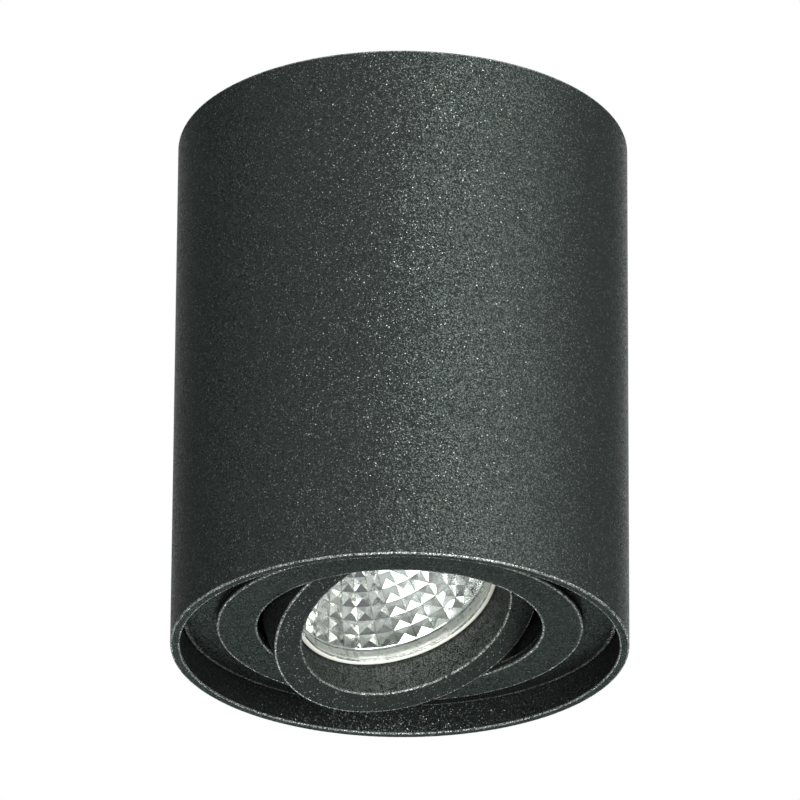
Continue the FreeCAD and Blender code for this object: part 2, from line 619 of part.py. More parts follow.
# ------------------------------------------------------------------ swivel ring
groove_floor = collar_radius - d.snap_groove_depth
swivel_profile = turned("swivel_profile", [
    (opening_radius + d.edge_break, swivel_face), (swivel_radius - d.edge_break, swivel_face),
    (swivel_radius, swivel_face + d.edge_break), (swivel_radius, swivel_back),
    (collar_radius, swivel_back), (collar_radius, snap_bottom - sheet_gap),
    (groove_floor, snap_bottom - sheet_gap), (groove_floor, snap_top + sheet_gap),
    (collar_radius, snap_top + sheet_gap), (collar_radius, collar_top), (collar_bore, collar_top),
    (collar_bore, swivel_back), (opening_radius, swivel_back),
    (opening_radius, swivel_face + d.edge_break)])
boss_top = pivot_z + d.boss_width / 2
boss_blanks = [
    box("boss_%d" % side, (collar_bore - opening_radius + d.collar_wall / 2, d.boss_width,
                           boss_top - swivel_back + d.swivel_plate / 2),
        (opening_radius, -d.boss_width / 2, swivel_back - d.swivel_plate / 2), FACING[side])
    for side in SIDES]
swivel_tools = [
    cylinder("pivot_hole", pivot_radius + d.pin_fit, collar_radius * 2 + 2 * THROUGH,
             (-collar_radius - THROUGH, 0, pivot_z), "x"),
    cylinder("swivel_pin_hole", stop_radius + d.pin_fit / 2, d.collar_wall + 2 * THROUGH,
             (0, -collar_radius - THROUGH, stop_z), "y")]
node(cut("swivel_drilled", fused("swivel_blank", [swivel_profile] + boss_blanks), swivel_tools),
     "swivel_ring", ON_SWIVEL)

node(turned("friction_ring", [
    (sleeve_bore, washer_bottom), (sleeve_radius, washer_bottom),
    (sleeve_radius, washer_bottom + d.friction_washer_sheet),
    (sleeve_bore, washer_bottom + d.friction_washer_sheet)]), "friction_washer")

snap_disc = turned("snap_disc", [
    (groove_floor + sheet_gap, snap_bottom), (collar_radius + d.snap_ring_stand, snap_bottom),
    (collar_radius + d.snap_ring_stand, snap_top), (groove_floor + sheet_gap, snap_top)])
snap_cutter = box("snap_cutter", (d.snap_opening, d.snap_ring_stand * 6, d.snap_ring_sheet + 2 * THROUGH),
                  (-d.snap_opening / 2, collar_radius - d.snap_ring_stand * 3, snap_bottom - THROUGH))
snap_middle = collar_radius + (d.snap_ring_stand - d.snap_groove_depth) / 2
snap_holes = [
    cylinder("snap_hole_%d" % side, d.plier_hole_diameter / 2, d.snap_ring_sheet + 2 * THROUGH,
             ((d.snap_opening / 2 + d.plier_hole_inset) * side, snap_middle, snap_bottom - THROUGH))
    for side in SIDES]
node(cut("snap_ring_cut", snap_disc, [snap_cutter] + snap_holes), "snap_ring", ON_SWIVEL)

swivel_pin_length = stop_circle + d.stop_reach - collar_bore
swivel_pin = cylinder("swivel_pin", stop_radius, swivel_pin_length,
                      (0, -collar_bore - swivel_pin_length, stop_z), "y")
node(group("swivel_pin_set", [swivel_pin]), "swivel_stop_pin", ON_SWIVEL)

# ------------------------------------------------------------------ lamp ring on its tilt pins
# From here on each piece is drawn about the tilt axis: X is that axis, and +Z the way the light goes.
ring_blank = turned("ring_blank", [
    (ring_bore, -d.ring_back), (ring_radius - d.edge_break, -d.ring_back),
    (ring_radius, -d.ring_back + d.edge_break), (ring_radius, d.ring_front - d.edge_break),
    (ring_radius - d.edge_break, d.ring_front), (ring_bore + d.edge_break, d.ring_front),
    (ring_bore, d.ring_front - d.edge_break)])
pin_start = ring_radius - d.pivot_flat_depth - d.pin_bite
pin_length = collar_radius - pin_start - d.running_gap
bridge_inner = ring_bore + d.bridge_inset
bridge_screw_radius = d.bridge_screw_diameter / 2
bridge_screw_x = bridge_inner + d.bridge_sheet + bridge_screw_radius * 2 + d.running_gap
bridge_screw_bite = d.ring_back - pivot_radius - d.bridge_screw_wall
ring_tools = []
for side in SIDES:
    facing = FACING[side]
    ring_tools.append(cylinder("washer_flat_%d" % side, washer_radius + d.pivot_flat_margin, d.ring_wall,
                               (pivot_flat, 0, 0), "x", facing))
    ring_tools.append(cylinder("ring_pin_hole_%d" % side, pivot_radius + d.pin_fit / 2, d.ring_wall,
                               (pin_start, 0, 0), "x", facing))
    ring_tools.append(cylinder("ring_screw_hole_%d" % side, bridge_screw_radius + d.pin_fit,
                               bridge_screw_bite + THROUGH, (bridge_screw_x, 0, -d.ring_back - THROUGH),
                               "z", facing))
node(cut("ring_drilled", ring_blank, ring_tools), "lamp_ring", ON_LAMP)
node(group("pivot_pin_pair", [
    cylinder("pivot_pin_%d" % side, pivot_radius, pin_length, (pin_start, 0, 0), "x", FACING[side])
    for side in SIDES]), "pivot_pins", ON_LAMP)
pivot_washer_sheet = opening_radius - pivot_flat - d.running_gap
node(group("pivot_washer_pair", [
    put(turned("pivot_washer_%d" % side, [
        (pivot_radius + d.pin_fit, 0), (washer_radius, 0), (washer_radius, pivot_washer_sheet),
        (pivot_radius + d.pin_fit, pivot_washer_sheet)]), (pivot_flat, 0, 0), "x", FACING[side])
    for side in SIDES]), "pivot_washers", ON_LAMP)

# ------------------------------------------------------------------ lamp
lamp_front = d.ring_front - d.lamp_recess


def deep(depth):
    """Height of a point that lies a given depth behind the lamp's front."""
    return lamp_front - depth


glass_radius = lamp_radius - d.glass_inset
band_radius = lamp_radius - d.reflector_wall
throat_radius = d.throat_diameter / 2
neck_radius = throat_radius + d.neck_wall
back_half = ((lamp_radius * lamp_radius + neck_radius * neck_radius) / 2).root()


def faceted_bowl(name, front_radius, back_radius, front, back):
    """The space in the bowl: rings of low pyramids on a paraboloid, with a flat at each end.

    The squared radius of the paraboloid falls in step with the depth. Each facet is four triangles, from
    its corners to a middle that stands nearer to the lamp's axis."""
    pitch = 2 * math.pi / FACETS_ROUND
    steps = range(FACETS_ROUND)

    def ring(share, lift, offset, forward=0.0):
        """Points evenly round the bowl, a share of the way from its front to its back."""
        radius = math.sqrt(front_radius ** 2 * (1 - share) + back_radius ** 2 * share) - lift
        height = lamp_front.value - front * (1 - share) - back * share + forward
        turns = [math.radians(FACET_PHASE) + pitch * (step + offset) for step in steps]
        return [FreeCAD.Vector(radius * math.cos(turn), radius * math.sin(turn), height) for turn in turns]

    def face(*corners):
        return Part.Face(Part.makePolygon(list(corners) + [corners[0]]))

    mouth = ring(0, 0, 0, THROUGH)
    rows = [ring(row / FACET_ROWS, 0, 0) for row in range(FACET_ROWS + 1)]
    faces = [face(*mouth), face(*rows[-1])]
    for step in steps:
        after = (step + 1) % FACETS_ROUND
        faces.append(face(mouth[step], mouth[after], rows[0][after], rows[0][step]))
    for row in range(FACET_ROWS):
        middles = ring((row + 0.5) / FACET_ROWS, d.facet_lift.value, 0.5)
        for step in steps:
            after = (step + 1) % FACETS_ROUND
            corners = [rows[row][step], rows[row][after], rows[row + 1][after], rows[row + 1][step]]
            for corner in range(4):
                faces.append(face(corners[corner], corners[(corner + 1) % 4], middles[step]))
    made = doc.addObject("Part::Feature", name)
    made.Shape = Part.makeSolid(Part.makeShell(faces))
    if made.Shape.Volume < 0:
        made.Shape = made.Shape.reversed()
    return made


reflector_blank = turned("reflector_blank", [
    (glass_radius, deep(0)), (lamp_radius - d.edge_break, deep(0)), (lamp_radius, deep(d.edge_break)),
    (lamp_radius, deep(d.rim_depth), (back_half, deep((d.rim_depth + d.bowl_end) / 2))),
    (neck_radius, deep(d.bowl_end)),
    (throat_radius, deep(d.bowl_end)), (throat_radius, deep(d.bowl_start)),
    (band_radius, deep(d.bowl_start)), (band_radius, deep(d.glass_thickness)),
    (glass_radius, deep(d.glass_thickness))])
bowl_space = faceted_bowl(
    "bowl_space", (band_radius - d.facet_inset).value, (throat_radius + d.throat_margin).value,
    d.bowl_start.value, (d.bowl_end - d.bowl_land).value)
node(cut("reflector_cut", reflector_blank, [bowl_space]), "lamp_reflector", ON_LAMP)
node(turned("glass_disc", [
    (0, deep(0)), (glass_radius - d.glass_fit, deep(0)),
    (glass_radius - d.glass_fit, deep(d.glass_thickness)), (0, deep(d.glass_thickness))]),
    "lamp_glass", ON_LAMP)
capsule_radius = d.capsule_diameter / 2
node(turned("capsule_tube", [
    (0, deep(d.capsule_front)), (capsule_radius * 0.6, deep(d.capsule_front + capsule_radius * 0.25)),
    (capsule_radius, deep(d.capsule_front + capsule_radius)), (capsule_radius, deep(d.capsule_end)),
    (0, deep(d.capsule_end))]), "lamp_capsule", ON_LAMP)

base_radius = d.base_diameter / 2
contact_offset = d.contact_spacing / 2
shank_radius = d.contact_shank_diameter / 2
head_radius = d.contact_head_diameter / 2
capsule_seat = capsule_radius + d.glass_fit
base_blank = turned("base_blank", [
    (capsule_seat, deep(d.bowl_end)), (base_radius - d.ceramic_bevel, deep(d.bowl_end)),
    (base_radius, deep(d.bowl_end + d.ceramic_bevel)), (base_radius, deep(d.base_end - d.ceramic_bevel)),
    (base_radius - d.ceramic_bevel, deep(d.base_end)), (0, deep(d.base_end)), (0, deep(d.capsule_end)),
    (capsule_seat, deep(d.capsule_end))])
base_tools = []
contacts = []
for side in SIDES:
    at = contact_offset * side
    base_tools.append(cylinder("contact_hole_%d" % side, shank_radius + d.pin_fit, d.contact_root + THROUGH,
                               (0, at, deep(d.base_end + THROUGH))))
    contacts.append(put(turned("contact_%d" % side, [
        (0, d.contact_root), (shank_radius, d.contact_root), (shank_radius, -d.contact_shank),
        (head_radius, -d.contact_shank), (head_radius, -d.contact_shank - d.contact_head),
        (0, -d.contact_shank - d.contact_head)]), (0, at, deep(d.base_end))))
node(cut("base_drilled", base_blank, base_tools), "lamp_base", ON_LAMP)
node(group("contact_pair", contacts), "lamp_contacts", ON_LAMP)

# ------------------------------------------------------------------ lampholder
holder_front = d.base_end + d.holder_gap
holder_back = holder_front + d.holder_height
holder_lip = d.contact_shank - d.holder_gap - d.pin_fit
cover_back = holder_back + d.holder_cover_sheet
holder_screw_radius = d.holder_screw_diameter / 2
holder_head_radius = holder_screw_radius + d.holder_screw_rim
holder_screw_sink = d.holder_screw_head + d.holder_sink_cover


def kidney(name, half_width, entry_radius, start, finish, facing):
    """A tool for a twist slot: a round entry, an arc about the lamp axis and a round end."""
    tall = finish - start
    low = deep(finish)
    sector = doc.addObject("Part::Cylinder", name + "_sector")
    bind(sector, "Radius", contact_offset + half_width)
    bind(sector, "Height", tall)
    bind(sector, "Angle", d.twist)
    put(sector, (0, 0, low), turn=facing)
    core = cylinder(name + "_core", contact_offset - half_width, tall, (0, 0, low))
    arc = cut(name + "_arc", sector, [core])
    end = cylinder(name + "_end", half_width, tall, (contact_offset, 0, low), turn=facing)
    entry = cylinder(name + "_entry", entry_radius, tall, (contact_offset, 0, low), turn=facing + d.twist)
    return fused(name, [arc, end, entry])


holder_blank = turned("holder_blank", [
    (0, deep(holder_front)), (d.holder_diameter / 2 - d.ceramic_bevel, deep(holder_front)),
    (d.holder_diameter / 2, deep(holder_front + d.ceramic_bevel)), (d.holder_diameter / 2, deep(holder_back)),
    (0, deep(holder_back))])
neck_half = shank_radius + d.slot_play
pocket_half = head_radius + d.slot_play
holder_tools = []
for side in SIDES:
    facing = 90 * side
    holder_tools.append(kidney("neck_%d" % side, neck_half, pocket_half, holder_front - THROUGH,
                               holder_front + holder_lip + THROUGH, facing))
    holder_tools.append(kidney("pocket_%d" % side, pocket_half, pocket_half, holder_front + holder_lip,
                               holder_back + THROUGH, facing))
    holder_tools.append(cylinder("holder_bore_%d" % side, holder_screw_radius + d.pin_fit,
                                 d.holder_height + 2 * THROUGH,
                                 (d.holder_screw_spacing / 2 * side, 0, deep(holder_back + THROUGH))))
    holder_tools.append(cylinder("holder_sink_%d" % side, holder_head_radius + d.holder_sink_play,
                                 holder_screw_sink + THROUGH,
                                 (d.holder_screw_spacing / 2 * side, 0,
                                  deep(holder_front + holder_screw_sink))))
node(cut("holder_cut", holder_blank, holder_tools), "lampholder", ON_LAMP)

cover_blank = turned("cover_blank", [
    (0, deep(holder_back)), (d.holder_diameter / 2, deep(holder_back)),
    (d.holder_diameter / 2, deep(cover_back)), (0, deep(cover_back))])
cover_tools = [
    cylinder("cover_bore_%d" % side, holder_screw_radius + d.pin_fit, d.holder_cover_sheet + 2 * THROUGH,
             (d.holder_screw_spacing / 2 * side, 0, deep(cover_back + THROUGH)))
    for side in SIDES]
node(cut("cover_drilled", cover_blank, cover_tools), "lampholder_cover", ON_LAMP)

contact_end = d.base_end + d.contact_shank + d.contact_head
leaf_width = head_radius * 1.1
leaf_inner = contact_offset - head_radius * 0.8
leaf_outer = contact_offset + head_radius * 0.8
leaf_front = contact_end + d.leaf_gap
leaves = []
for side in SIDES:
    leaves.append(put(strip("leaf_contact_%d" % side, [
        (leaf_inner, deep(holder_back)), (leaf_outer, deep(holder_back)),
        (leaf_outer, deep(holder_back - d.leaf_sheet)),
        (leaf_inner + d.leaf_sheet, deep(holder_back - d.leaf_sheet)),
        (leaf_inner + d.leaf_sheet, deep(leaf_front + d.leaf_sheet)),
        (leaf_outer, deep(leaf_front + d.leaf_sheet)),
        (leaf_outer, deep(leaf_front)), (leaf_inner, deep(leaf_front))],
        leaf_width), turn=90 * side))
node(group("leaf_pair", leaves), "holder_contacts", ON_LAMP)

# ------------------------------------------------------------------ bridge between ring and lampholder
ring_rear = -d.ring_back
foot_end = bridge_inner + d.bridge_foot
plate_top = deep(cover_back)
plate_bottom = plate_top - d.bridge_sheet
right_edge = [
    (d.bridge_tail, plate_top), (bridge_inner, -d.bridge_shoulder), (bridge_inner, ring_rear),
    (foot_end, ring_rear), (foot_end, ring_rear - d.bridge_sheet),
    (bridge_inner + d.bridge_sheet, ring_rear - d.bridge_sheet),
    (bridge_inner + d.bridge_sheet, -d.bridge_shoulder), (d.bridge_tail + d.bridge_sheet, plate_bottom)]
left_edge = [(-x, z) for x, z in reversed(right_edge)]
bridge_blank = strip("bridge_blank", right_edge + left_edge, d.bridge_width)
bridge_tools = []
for side in SIDES:
    bridge_tools.append(cylinder("bridge_bore_%d" % side, holder_screw_radius + d.pin_fit,
                                 d.bridge_sheet + 2 * THROUGH,
                                 (d.holder_screw_spacing / 2 * side, 0, plate_bottom - THROUGH)))
    bridge_tools.append(cylinder("foot_bore_%d" % side, bridge_screw_radius + d.pin_fit,
                                 d.bridge_sheet + 2 * THROUGH,
                                 (bridge_screw_x * side, 0, ring_rear - d.bridge_sheet - THROUGH)))
node(cut("bridge_drilled", bridge_blank, bridge_tools), "lamp_bridge", ON_LAMP)
node(group("bridge_screw_pair", [
    put(screw("bridge_screw_%d" % side, bridge_screw_radius, d.bridge_sheet + bridge_screw_bite - d.pin_fit,
              bridge_screw_radius * 2, d.bridge_screw_head),
        (bridge_screw_x * side, 0, ring_rear - d.bridge_sheet))
    for side in SIDES]), "bridge_screws", ON_LAMP)
holder_screw_shank = (d.holder_height - holder_screw_sink + d.holder_cover_sheet + d.bridge_sheet
                      + d.holder_screw_reach)
node(group("holder_screw_pair", [
    put(screw("holder_screw_%d" % side, holder_screw_radius, holder_screw_shank, holder_head_radius,
              d.holder_screw_head),
        (d.holder_screw_spacing / 2 * side, 0, deep(holder_front + holder_screw_sink)), "down")
    for side in SIDES]), "holder_screws", ON_LAMP)

# ------------------------------------------------------------------ check and write
doc.recompute()
for thing in doc.Objects:
    if "Invalid" in thing.State or "Error" in thing.State:
        raise SystemExit("failed: %s %s" % (thing.Name, thing.State))
os.makedirs("parts", exist_ok=True)
for piece in NODES:
    if piece.Shape.isNull() or not piece.Shape.isValid():
        raise SystemExit("bad shape: " + piece.Label)
    piece.Shape.exportStep("parts/%s.step" % piece.Label)
    print(piece.Label, len(piece.Shape.Solids), round(piece.Shape.Volume, 1))
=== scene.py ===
import json
import logging
import math
from dataclasses import dataclass, field
from enum import Enum
from typing import Iterable, Sequence, Union

import bpy
import numpy as np
from mathutils import Matrix, Vector


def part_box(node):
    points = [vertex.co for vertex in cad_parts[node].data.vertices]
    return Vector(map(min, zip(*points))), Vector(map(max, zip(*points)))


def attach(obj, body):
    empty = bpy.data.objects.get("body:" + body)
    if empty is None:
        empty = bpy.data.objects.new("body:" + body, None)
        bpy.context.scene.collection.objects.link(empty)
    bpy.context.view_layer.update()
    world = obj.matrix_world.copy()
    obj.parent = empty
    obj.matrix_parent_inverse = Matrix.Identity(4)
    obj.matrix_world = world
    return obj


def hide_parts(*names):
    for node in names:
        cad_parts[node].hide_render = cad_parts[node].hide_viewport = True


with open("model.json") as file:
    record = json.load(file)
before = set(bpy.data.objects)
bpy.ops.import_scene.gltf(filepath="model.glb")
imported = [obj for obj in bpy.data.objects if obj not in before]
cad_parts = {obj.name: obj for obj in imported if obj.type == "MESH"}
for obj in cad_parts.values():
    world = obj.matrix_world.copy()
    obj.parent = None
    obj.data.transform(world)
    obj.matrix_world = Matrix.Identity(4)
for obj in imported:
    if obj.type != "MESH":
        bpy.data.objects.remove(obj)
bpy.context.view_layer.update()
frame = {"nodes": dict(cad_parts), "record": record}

# A surface mounted ceiling spotlight: a plain tube with a recessed ring that swivels and a lamp ring
# that tilts in it. The ceiling is z = 0 and the light hangs below it. Sizes of the pieces are in
# millimetres in their classes, and every mesh is in metres.

# ROUND and SLIM are the columns of a turned piece and of a slim one. PAST is how far outside a wall a
# drill starts and ends, in millimetres. A corner that turns less than STRAIGHT, in radians, is left as it
# is. REST_TILT is the lamp's tilt in the photograph, in degrees from straight down. CLOUDY and GRAINY are
# the octaves of soft and of fine noise, and CRISP is the share that each octave of a fine noise keeps.
MM = 0.001
ROUND = 256
SLIM = 48
PAST = 1.0
STRAIGHT = 1e-6
REST_TILT = 22.5
CLOUDY = 3.0
GRAINY = 4.0
CRISP = 0.6
COAT = "anthracite_coat"
BOWL = "aluminised_reflector"
LOG = logging.getLogger("spotlight")
Colour = tuple[float, float, float]
Span = tuple[float, float]
Faces = list[list[int]]


class Body(Enum):
    """The bodies that pieces move with."""

    HOUSING = "housing"
    SWIVEL = "swivel"
    LAMP = "lamp"


# ------------------------------------------------------------------ shader graphs
class Wire:
    """An output of a shader graph. Arithmetic on it, also with a number first, adds Math nodes."""

    def __init__(self, graph: "Graph", socket: bpy.types.NodeSocket) -> None:
        """Holds one output socket and the graph that it belongs to."""
        self.graph = graph
        self.socket = socket

    def maths(self, operation: str, *others: Union["Wire", float], first: bool = True) -> "Wire":
        """Adds a Math node.

        Args:
            operation: the node's operation.
            others: the other operands.
            first: whether this wire is the first operand.

        Returns:
            The node's output.
        """
        operands = (self, *others) if first else (*others, self)
        settings = {"operation": operation}
        return self.graph.node("ShaderNodeMath", settings, dict(enumerate(operands))).out(0)

    def __add__(self, other: Union["Wire", float]) -> "Wire":
        """Sum."""
        return self.maths("ADD", other)

    __radd__ = __add__

    def __sub__(self, other: Union["Wire", float]) -> "Wire":
        """Difference."""
        return self.maths("SUBTRACT", other)

    def __rsub__(self, other: float) -> "Wire":
        """Difference, from the right."""
        return self.maths("SUBTRACT", other, first=False)

    def __mul__(self, other: Union["Wire", float]) -> "Wire":
        """Product."""
        return self.maths("MULTIPLY", other)

    __rmul__ = __mul__

    def step(self, low: float, high: float, out_low: float = 0.0, out_high: float = 1.0) -> "Wire":
        """Maps a range onto another and clamps it.

        Args:
            low: input that gives out_low.
            high: input that gives out_high.
            out_low: value at the low end.
            out_high: value at the high end.

        Returns:
            The mapped value.
        """
        values = {"Value": self, "From Min": low, "From Max": high, "To Min": out_low, "To Max": out_high}
        return self.graph.node("ShaderNodeMapRange", {"clamp": True}, values).out("Result")

    def spread(self, low: float, high: float) -> "Wire":
        """Maps the middle of a noise, 0.3 to 0.7, onto low to high."""
        return self.step(0.3, 0.7, low, high)


class Node:
    """One node of a shader graph."""

    def __init__(self, graph: "Graph", node: bpy.types.Node) -> None:
        """Holds the node and its graph."""
        self.graph = graph
        self.node = node

    def out(self, name: Union[str, int]) -> Wire:
        """An output of the node, by name or number."""
        return Wire(self.graph, self.node.outputs[name])


class Graph:
    """The node graph of a material or of the world."""

    def __init__(self, name: str) -> None:
        """Makes an empty node material.

        Args:
            name: the material's name.
        """
        self.material = bpy.data.materials.new(name)
        self.material.use_nodes = True
        self.tree = self.material.node_tree
        self.tree.nodes.clear()

    @classmethod
    def of(cls, tree: bpy.types.NodeTree) -> "Graph":
        """The graph of a node tree that isn't a material's.

        Args:
            tree: the tree, which is emptied.

        Returns:
            Its graph.
        """
        made = cls.__new__(cls)
        made.tree = tree
        tree.nodes.clear()
        return made

    def node(self, kind: str, settings: Union[dict, None] = None,
             values: Union[dict, None] = None) -> Node:
        """Adds any node.

        Args:
            kind: the node's type.
            settings: properties set first.
            values: socket name or number, and its value or the Wire that feeds it.

        Returns:
            The node.
        """
        made = self.tree.nodes.new(kind)
        for name, value in (settings or {}).items():
            setattr(made, name, value)
        for key, value in (values or {}).items():
            if isinstance(value, Wire):
                self.tree.links.new(value.socket, made.inputs[key])
            elif isinstance(value, tuple) and made.inputs[key].type == "RGBA":
                made.inputs[key].default_value = (*value, 1.0)
            else:
                made.inputs[key].default_value = value
        return Node(self, made)

    def place(self) -> Wire:
        """Object coordinates, in metres."""
        return self.node("ShaderNodeTexCoord").out("Object")

    def mark(self, name: str) -> Wire:
        """A value that the mesh's points carry."""
        return self.node("ShaderNodeAttribute", {"attribute_name": name}).out("Fac")

    def noise(self, size: float, detail: float = 2.0, rough: float = 0.5,
              place: Union[Wire, None] = None) -> Wire:
        """Smooth noise.

        Args:
            size: size of its blots in metres.
            detail: octaves.
            rough: share that each octave keeps.
            place: coordinates, or the object's own.

        Returns:
            Its value, about 0.5 on average.
        """
        values = {"Vector": place or self.place(), "Scale": 1.0 / size, "Detail": detail,
                  "Roughness": rough}
        return self.node("ShaderNodeTexNoise", {}, values).out("Fac")

    def cells(self, size: float) -> Wire:
        """The random colour of each Voronoi cell, of a size in metres."""
        values = {"Vector": self.place(), "Scale": 1.0 / size}
        return self.node("ShaderNodeTexVoronoi", {"feature": "F1"}, values).out("Color")

    def channels(self, colour: Wire) -> Node:
        """A node with the Red, Green and Blue of a colour."""
        return self.node("ShaderNodeSeparateColor", {}, {"Color": colour})

    def vector(self, operation: str, values: dict) -> Wire:
        """Adds a Vector Math node and gives its vector."""
        return self.node("ShaderNodeVectorMath", {"operation": operation}, values).out("Vector")

    def blend(self, mask: Union[Wire, float], first: Union[Wire, Colour],
              second: Union[Wire, Colour]) -> Wire:
        """Mixes two colours.

        Args:
            mask: share of the second colour.
            first: colour where the mask is 0.
            second: colour where the mask is 1.

        Returns:
            The mixed colour.
        """
        values = {0: mask, 6: first, 7: second}
        return self.node("ShaderNodeMix", {"data_type": "RGBA"}, values).out(2)

    def bump(self, height: Wire, strength: float, distance: float) -> Wire:
        """Normal from a height, with the relief's depth in metres."""
        values = {"Height": height, "Strength": strength, "Distance": distance}
        return self.node("ShaderNodeBump", {}, values).out("Normal")

    def finish(self, values: dict) -> bpy.types.Material:
        """Ends the graph in a Principled shader.

        Args:
            values: the shader's sockets.

        Returns:
            The material.
        """
        shader = self.node("ShaderNodeBsdfPrincipled", {}, values)
        self.node("ShaderNodeOutputMaterial", {}, {"Surface": shader.out("BSDF")})
        return self.material


# ------------------------------------------------------------------ finishes
def scaled(colour: Colour, factor: float) -> Colour:
    """A colour made lighter or darker by a factor."""
    return tuple(factor * part for part in colour)


@dataclass(frozen=True)
class SparklingCoat:
    """Textured anthracite powder coat: fine metallic grains that each lie at a slightly different angle.

    Each grain is lighter or darker than the colour, and a few are bright flakes. The edge colour is a
    painted highlight on rounded edges, and edge_from is the share of grains that stay plain there. Grazing
    is the share of the gloss that is left at the outline."""

    slot: str = COAT
    colour: Colour = (0.0278, 0.0334, 0.0318)
    flake: Colour = (0.175, 0.195, 0.188)
    # Painted highlight: the pale colour that grains on rounded edges take, in place of the light that the
    # edges catch.
    edge: Colour = (0.46, 0.50, 0.48)
    grain: float = 0.22 * MM
    dark: float = 0.7
    light: float = 1.3
    flake_range: Span = (0.955, 0.985)
    edge_from: float = 0.3
    tilt: float = 0.74
    rough: float = 0.27
    patch: float = 11 * MM
    patch_rough: Span = (0.95, 1.05)
    metallic: float = 0.65
    grazing: float = 0.40

    def build(self) -> bpy.types.Material:
        """The coat, with a painted highlight: grains on raised edges, marked by the edge attribute, take a
        paler colour.

        Returns:
            The material.
        """
        graph = Graph(self.slot)
        grains = graph.cells(self.grain)
        parts = graph.channels(grains)
        dark = scaled(self.colour, self.dark)
        light = scaled(self.colour, self.light)
        plain = graph.blend(parts.out("Red"), dark, light)
        flakes = parts.out("Green").step(*self.flake_range)
        # Painted highlight along the edges that the edge attribute marks.
        edge_highlight = graph.mark("edge") * parts.out("Blue").step(self.edge_from, 1.0)
        off = graph.vector("SUBTRACT", {0: grains, 1: (0.5, 0.5, 0.5)})
        lean = graph.vector("SCALE", {0: off, "Scale": self.tilt})
        face = graph.node("ShaderNodeNewGeometry").out("Normal")
        patch = graph.noise(self.patch, CLOUDY).spread(*self.patch_rough)
        return graph.finish({
            "Base Color": graph.blend(edge_highlight, graph.blend(flakes, plain, self.flake), self.edge),
            "Metallic": self.metallic,
            "Specular IOR Level": 0.0,
            "Specular Tint": (self.grazing,) * 3,
            "Roughness": self.rough * patch,
            "Normal": graph.vector("NORMALIZE", {0: graph.vector("ADD", {0: face, 1: lean})}),
        })


@dataclass(frozen=True)
class Metal:
    """A bare or plated metal with fine scratches and cloudy tarnish.

    Streak is the scale along Z that draws the scratches out, and dull the colour's share in its clouds."""

    slot: str
    colour: Colour
    rough: float
    grain: float = 0.25 * MM
    cloud: float = 3.0 * MM
    streak: float = 0.12
    dull: float = 0.72
    tarnish: float = 0.6
    tarnish_range: Span = (0.35, 0.7)
    scratch_keep: float = 0.65
    scratch_rough: Span = (-0.04, 0.04)
    cloud_rough: Span = (-0.05, 0.08)
    relief: float = 0.25
    depth: float = 0.02 * MM

    def build(self) -> bpy.types.Material:
        """The metal, duller and rougher in its clouds.

        Returns:
            The material.
        """
        graph = Graph(self.slot)
        drawn = {"Vector": graph.place(), "Scale": (1.0, 1.0, self.streak)}
        stretched = graph.node("ShaderNodeMapping", {}, drawn).out("Vector")
        scratch = graph.noise(self.grain, GRAINY, self.scratch_keep, stretched)
        cloud = graph.noise(self.cloud, CLOUDY)
        tarnish = cloud.step(*self.tarnish_range, 0.0, self.tarnish)
        uneven = cloud.spread(*self.cloud_rough) + scratch.spread(*self.scratch_rough)
        return graph.finish({
            "Base Color": graph.blend(tarnish, self.colour, scaled(self.colour, self.dull)),
            "Metallic": 1.0,
            "Roughness": self.rough + uneven,
            "Normal": graph.bump(scratch, self.relief, self.depth),
        })


@dataclass(frozen=True)
class Zinc:
    """Galvanised sheet with its spangle of crystals.

    Grazing is the share of its gloss that is left where it is seen almost edge-on."""

    slot: str
    colour: Colour = (0.42, 0.44, 0.45)
    dull: Colour = (0.34, 0.36, 0.375)
    crystal: float = 3.2 * MM
    crystal_rough: float = 0.12
    warp: float = 2.5 * MM
    warp_rough: float = 0.1
    fine: float = 0.3 * MM
    rough: float = 0.46
    grazing: float = 0.2
    relief: float = 0.2
    depth: float = 0.03 * MM

    def build(self) -> bpy.types.Material:
        """The sheet, with a colour and a gloss of its own for each crystal.

        Returns:
            The material.
        """
        graph = Graph(self.slot)
        warp = graph.noise(self.warp)
        spangle = graph.channels(graph.cells(self.crystal)).out("Red")
        fine = graph.noise(self.fine, CLOUDY, CRISP)
        return graph.finish({
            "Base Color": graph.blend(spangle, self.colour, self.dull),
            "Metallic": 1.0,
            "Specular Tint": (self.grazing,) * 3,
            "Roughness": self.rough + spangle * self.crystal_rough + warp * self.warp_rough,
            "Normal": graph.bump(fine + warp * 0.5, self.relief, self.depth),
        })


@dataclass(frozen=True)
class Moulding:
    """Moulded plastic, rubber or pressed board with a fine grain."""

    slot: str
    colour: Colour
    rough: float = 0.5
    grain: float = 0.35 * MM
    relief: float = 0.25
    depth: float = 0.04 * MM
    cloud: float = 6 * MM
    cloud_range: Span = (0.3, 0.75)
    shade: float = 0.8
    fine_rough: Span = (-0.06, 0.06)

    def build(self) -> bpy.types.Material:
        """The moulding, shaded in soft clouds.

        Returns:
            The material.
        """
        graph = Graph(self.slot)
        fine = graph.noise(self.grain, GRAINY, CRISP)
        cloud = graph.noise(self.cloud)
        shade = scaled(self.colour, self.shade)
        return graph.finish({
            "Base Color": graph.blend(cloud.step(*self.cloud_range), self.colour, shade),
            "Roughness": self.rough + fine.spread(*self.fine_rough),
            "Normal": graph.bump(fine, self.relief, self.depth),
        })


